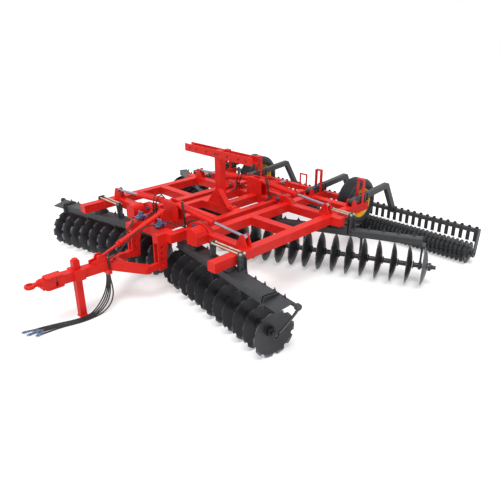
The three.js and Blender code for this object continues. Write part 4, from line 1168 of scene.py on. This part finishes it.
@dataclass
class FeedHoses:
    """Hoses that the machine holds all the way: valves to drawbar clip, and valves to the fold cylinders."""

    diameter: float = 0.016
    spacing: float = 0.020

    def build(self) -> None:
        """Makes each run, and sets the rail pipes on the chassis."""
        self.drawbar_runs()
        for side in Side:
            self.rail_run(side)
            for end in End:
                self.cylinder_loop(end, side)

    def run(self, name: str, routes: Sequence[Sequence[Point]]) -> bpy.types.Object:
        """Makes several hoses one mesh piece.

        Args:
            name: The piece's name.
            routes: Each hose's points.

        Returns:
            The piece, dressed but not yet on a body.
        """
        curves = [tube_along(name, [Vector(spot) for spot in route], self.diameter, 2) for route in routes]
        deselect()
        for curve in curves:
            curve.select_set(True)
        bpy.context.view_layer.objects.active = curves[0]
        bpy.ops.object.convert(target="MESH")
        return dress(joined(name, curves), "hose_rubber")

    def drawbar_runs(self) -> None:
        """Five hoses down both sides of the levelling link to the clip under the drawbar."""
        clip_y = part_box("hydraulic_hose_1")[1].y
        for side, count in ((Side.LEFT, 3), (Side.RIGHT, 2)):
            low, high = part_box(f"valve_block_{side.word}")
            x, y, z = (low.x + high.x) / 2, (low.y + high.y) / 2 - .096, low.z + .052
            routes = []
            for index in range(count):
                lane, rise = side.value * (.078 + index * self.spacing), .012 * index
                start = x + (index - 1) * PORT_PITCH
                tail = .078 + .008 * index + (0 if side is Side.LEFT else .004)
                routes.append([(start, y, z), (start, y - .05, z + .012 + rise),
                               (lane * 1.5, y - .16, z + .010 + rise), (lane, y - .30, z - .060 + rise),
                               (lane, y - .46, z - .170 + rise), (lane * .8 + .02, y - .60, z - .265 + rise),
                               (tail, clip_y - .010, .700), (tail, clip_y - .004, .640),
                               (tail, clip_y, .566)])
            hoses = self.run(f"drawbar_hoses_{side.word}", routes)
            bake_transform(hoses)

    def rail_run(self, side: Side) -> None:
        """Two pipes along a rail's top, lifted over the hinge ears."""
        valve_low, valve_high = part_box(f"valve_block_{side.word}")
        top = valve_low.z
        y = (valve_low.y + valve_high.y) / 2 + .096
        x = (valve_low.x + valve_high.x) / 2
        lifts = [corner.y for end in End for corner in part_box(f"{end.value}_cylinder_post")]
        routes = []
        for index in range(2):
            lane, rest, hop = side.value * (.394 + index * self.spacing), top + .009, top + .056
            start = x + index * PORT_PITCH
            route = [(start, y, top + .052), (start, y + .04, top + .050),
                     ((x + lane) / 2, y + .10, top + .020), (lane, y + .16, rest)]
            for front, back in (lifts[:2], lifts[2:]):
                route += [(lane, front - .05, rest), (lane, front + .01, hop), (lane, back - .01, hop),
                          (lane, back + .05, rest)]
            routes.append(route + [(lane, lifts[3] + .22, rest)])
        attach(self.run(f"rail_pipes_{side.word}", routes), "chassis")

    def cylinder_loop(self, end: End, side: Side) -> None:
        """A hose that arches from beside the post to the fold barrel's port."""
        base = JOINTS[f"{end.value}_fold_barrel_swing_{side.word}"]["pos_m"]
        axis = JOINTS[f"{end.value}_fold_rod_slide_{side.word}"]["axis"]
        port = Vector(base) + Vector(axis) * .12 + Vector((0, 0, .060))
        sign = side.value
        for number, reach in enumerate((.34, .39)):
            fore = -.075 - .022 * number
            route = [(sign * reach, base[1] + fore, base[2] - .225),
                     (sign * reach, base[1] + fore, base[2] - .15),
                     (sign * (reach - .02), base[1] + fore, base[2] - .03),
                     (sign * (reach - .06), base[1] + fore * .8, base[2] + .06 + .02 * number),
                     (sign * (reach - .11), base[1] + fore * .4, port.z + .035 + .02 * number), tuple(port)]
            hose = self.run(f"{end.value}_cylinder_hose_{side.word}_{number + 1}", [route])
            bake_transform(hose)


# ---------------------------------------------------------------------------------------------
# Trim
# ---------------------------------------------------------------------------------------------


@dataclass
class Trim:
    """Bolts, pin heads and clamps on the frame, the rollers and the levelling link.

    The hinges, the comb bar and the roots of the roller arms have their places along Y from the mast.
    """

    pin: float = 0.034
    hinges: tuple[float, float] = (-0.950, 0.830)
    hinge_half: float = 0.084
    comb: tuple[float, float] = (0.13, 3.07)
    comb_along: float = 2.790
    comb_top: float = 0.602
    scrapers: int = 25
    arms: tuple[float, float] = (0.710, 1.560)
    arm_root: float = 1.700
    link_eye: float = 0.036

    def build(self) -> None:
        """Sets each group."""
        self.hinge_pins()
        self.roller_trim()
        self.link_nuts()
        self.link_rod()
        self.mast_bolts()

    def hinge_pins(self) -> None:
        """A washer, a nut and a grease nipple on both ends of each hinge pin."""
        parts = []
        x, _, z = JOINTS["wing_fold_left"]["pos_m"]
        for hinge in self.hinges:
            for face in (-1, 1):
                place = along((x, hinge + MAST_Y + face * self.hinge_half, z), (0, face, 0))
                for piece in (bar("washer", .036, -.012, .002, 24, .001),
                              bar("nut", self.pin - .004, 0, .022, 6, .003),
                              bar("nipple", .006, .020, .034, 8, .001)):
                    piece.data.transform(place)
                    parts.append(piece)
        both_sides("hinge_pin_nuts", parts, "chassis", "zinc")

    def roller_trim(self) -> None:
        """Clamps round the roller arms, bolts along the comb bar, and flanged bearings at its ends."""
        low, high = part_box("packer_roller_left")
        y, z = (low.y + high.y) / 2, (low.z + high.z) / 2
        bolt = bar("bolt", .011, 0, .014, 6, .002)
        parts = []
        comb_top, comb_y = self.comb_top, self.comb_along + MAST_Y
        head = turned("head", [(-.006, 0), (-.006, .028), (.006, .028), (.006, 0)], 20)
        for index in range(self.scrapers):
            x = self.comb[0] + (self.comb[1] - self.comb[0]) * index / (self.scrapers - 1)
            parts.append(placed(bolt, upright(Matrix.Translation((x, comb_y - .010, comb_top - .002)))))
            spot = Matrix.Translation((x, comb_y + .026, comb_top + .004))
            parts.append(placed(head, crosswise(spot)))
        for x, face in ((low.x + .010, -1), (high.x - .010, 1)):
            flange = bar("flange", .058, x - .012, x + .012, 24, .004)
            flange.data.transform(Matrix.Translation((0, y, z)))
            parts.append(flange)
            for index in range(4):
                angle = math.tau * (index + .5) / 4
                spot = (x + face * .020, y + .044 * math.cos(angle), z + .044 * math.sin(angle))
                parts.append(placed(bolt, along(spot, (face, 0, 0))))
        root = self.arm_root + MAST_Y
        for x in self.arms:
            parts.append(block("clamp", (x - .054, root, .975), (x + .054, root + .050, 1.108), .005))
            parts.append(block("clamp", (x - .054, root + .090, .978), (x + .054, root + .120, 1.112), .005))
            for bottom, top in ((.530, .560), (.604, .630)):
                parts.append(block("foot_clamp", (x - .056, comb_y - .062, bottom),
                                   (x + .056, comb_y + .044, top), .004))
        discard(bolt, head)
        both_sides("roller_clamps", parts, "roller_frame", "charcoal_paint")

    def link_line(self) -> tuple[Vector, Vector]:
        """The levelling link's upper pin, and the way that its screw points."""
        return Vector(JOINTS["levelling_tube_swing"]["pos_m"]), Vector(JOINTS["levelling_rod_slide"]["axis"])

    def link_nuts(self) -> None:
        """The jam nut and collar where the levelling link's screw enters its tube."""
        start, axis = self.link_line()
        mouth = (start.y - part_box("levelling_link_tube")[0].y) / abs(axis.y)
        parts = [bar("collar", .044, mouth - .060, mouth - .012, 24, .004),
                 bar("nut", .038, mouth - .004, mouth + .024, 6, .003),
                 bar("handle", .012, mouth - .30, mouth - .28, 12, .002)]
        whole = joined("levelling_nuts", parts)
        whole.data.transform(along(tuple(start), tuple(axis)))
        fit(whole, "levelling_tube", "red_paint")

    def link_rod(self) -> None:
        """The levelling link's screw, painted like its tube, with the eye on the drawbar's pin."""
        start, axis = self.link_line()
        length = (start.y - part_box("levelling_link_rod")[0].y - self.link_eye) / abs(axis.y)
        shank = bar("shank", .020, .32 * length, length, 24, .003)
        shank.data.transform(along(tuple(start), tuple(axis)))
        eye = bar("eye", self.link_eye, -.032, .032, 32, .004)
        eye.data.transform(Matrix.Translation(start + axis * length))
        fit(joined("levelling_screw", [shank, eye]), "levelling_rod", "red_paint", "levelling_link_rod")

    def mast_bolts(self) -> None:
        """Bolts through the T bar's plates and the mast's foot."""
        low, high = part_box("wing_rest_mast")
        bolt = bar("bolt", .013, 0, .014, 6, .002)
        parts = []
        for x in (.030, .240, .480, .643):
            for face, y in ((-1, MAST_Y - .075), (1, MAST_Y + .075)):
                parts.append(placed(bolt, crosswise(Matrix.Translation((x, y, high.z - .060)), face)))
        for x in (.110, .225):
            for y in (-.045, .045):
                parts.append(placed(bolt, upright(Matrix.Translation((x, MAST_Y + y, low.z + .017)))))
        discard(bolt)
        both_sides("mast_bolts", parts, "chassis", "charcoal_paint")


# ---------------------------------------------------------------------------------------------
# The scene
# ---------------------------------------------------------------------------------------------


def main() -> None:
    """Builds the scene: camera and hoses first, then each sub-assembly."""
    logging.basicConfig(level=logging.INFO, format="%(message)s")
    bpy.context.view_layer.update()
    studio = Studio()
    studio.camera()
    Hoses().build()
    studio.lamps()
    studio.floor()
    for side in Side:
        DiscGang(End.FRONT, side, discs=11, dish=0.075, notches=10).build()
        DiscGang(End.REAR, side, discs=14, dish=-0.075, notches=0).build()
        Wheel(side).build()
        PackerRoller(side).build()
        Valves(side).build()
        for end in End:
            Cylinder(f"{end.value}_fold_barrel_{side.word}", f"{end.value}_fold_rod_{side.word}",
                     f"{end.value}_fold_barrel_swing_{side.word}", f"{end.value}_fold_rod_slide_{side.word}",
                     eye_radius=.036, barrel_length=.800, radius=.045, rod=.021, eye_width=(.092, .058),
                     rod_from=.669).build()
    Cylinder("lift_cylinder_barrel", "lift_cylinder_rod", "lift_barrel_swing", "lift_rod_slide",
             eye_radius=.032, barrel_length=.470, radius=.038, rod=.020, eye_width=(.076, .064),
             rod_from=.20).build()
    GangBeam(End.FRONT, start=.130, stop=2.180, hangers=(.112, 1.012, 1.687),
             saddles=((.710, -1.150), (1.560, -1.300)), clamp=(1.650, -1.185), anchor=1.130, outer=2.356,
             deck=.070, stud_pitch=.190).build()
    GangBeam(End.REAR, start=.100, stop=2.800, hangers=(.112, 1.012, 1.912, 2.812),
             saddles=((.710, .573), (1.560, .934)), clamp=(1.812, 1.010), anchor=1.448).build()
    FeedHoses().build()
    Trim().build()
    FrameFinish().build()
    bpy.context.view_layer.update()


if __name__ == "__main__":
    main()
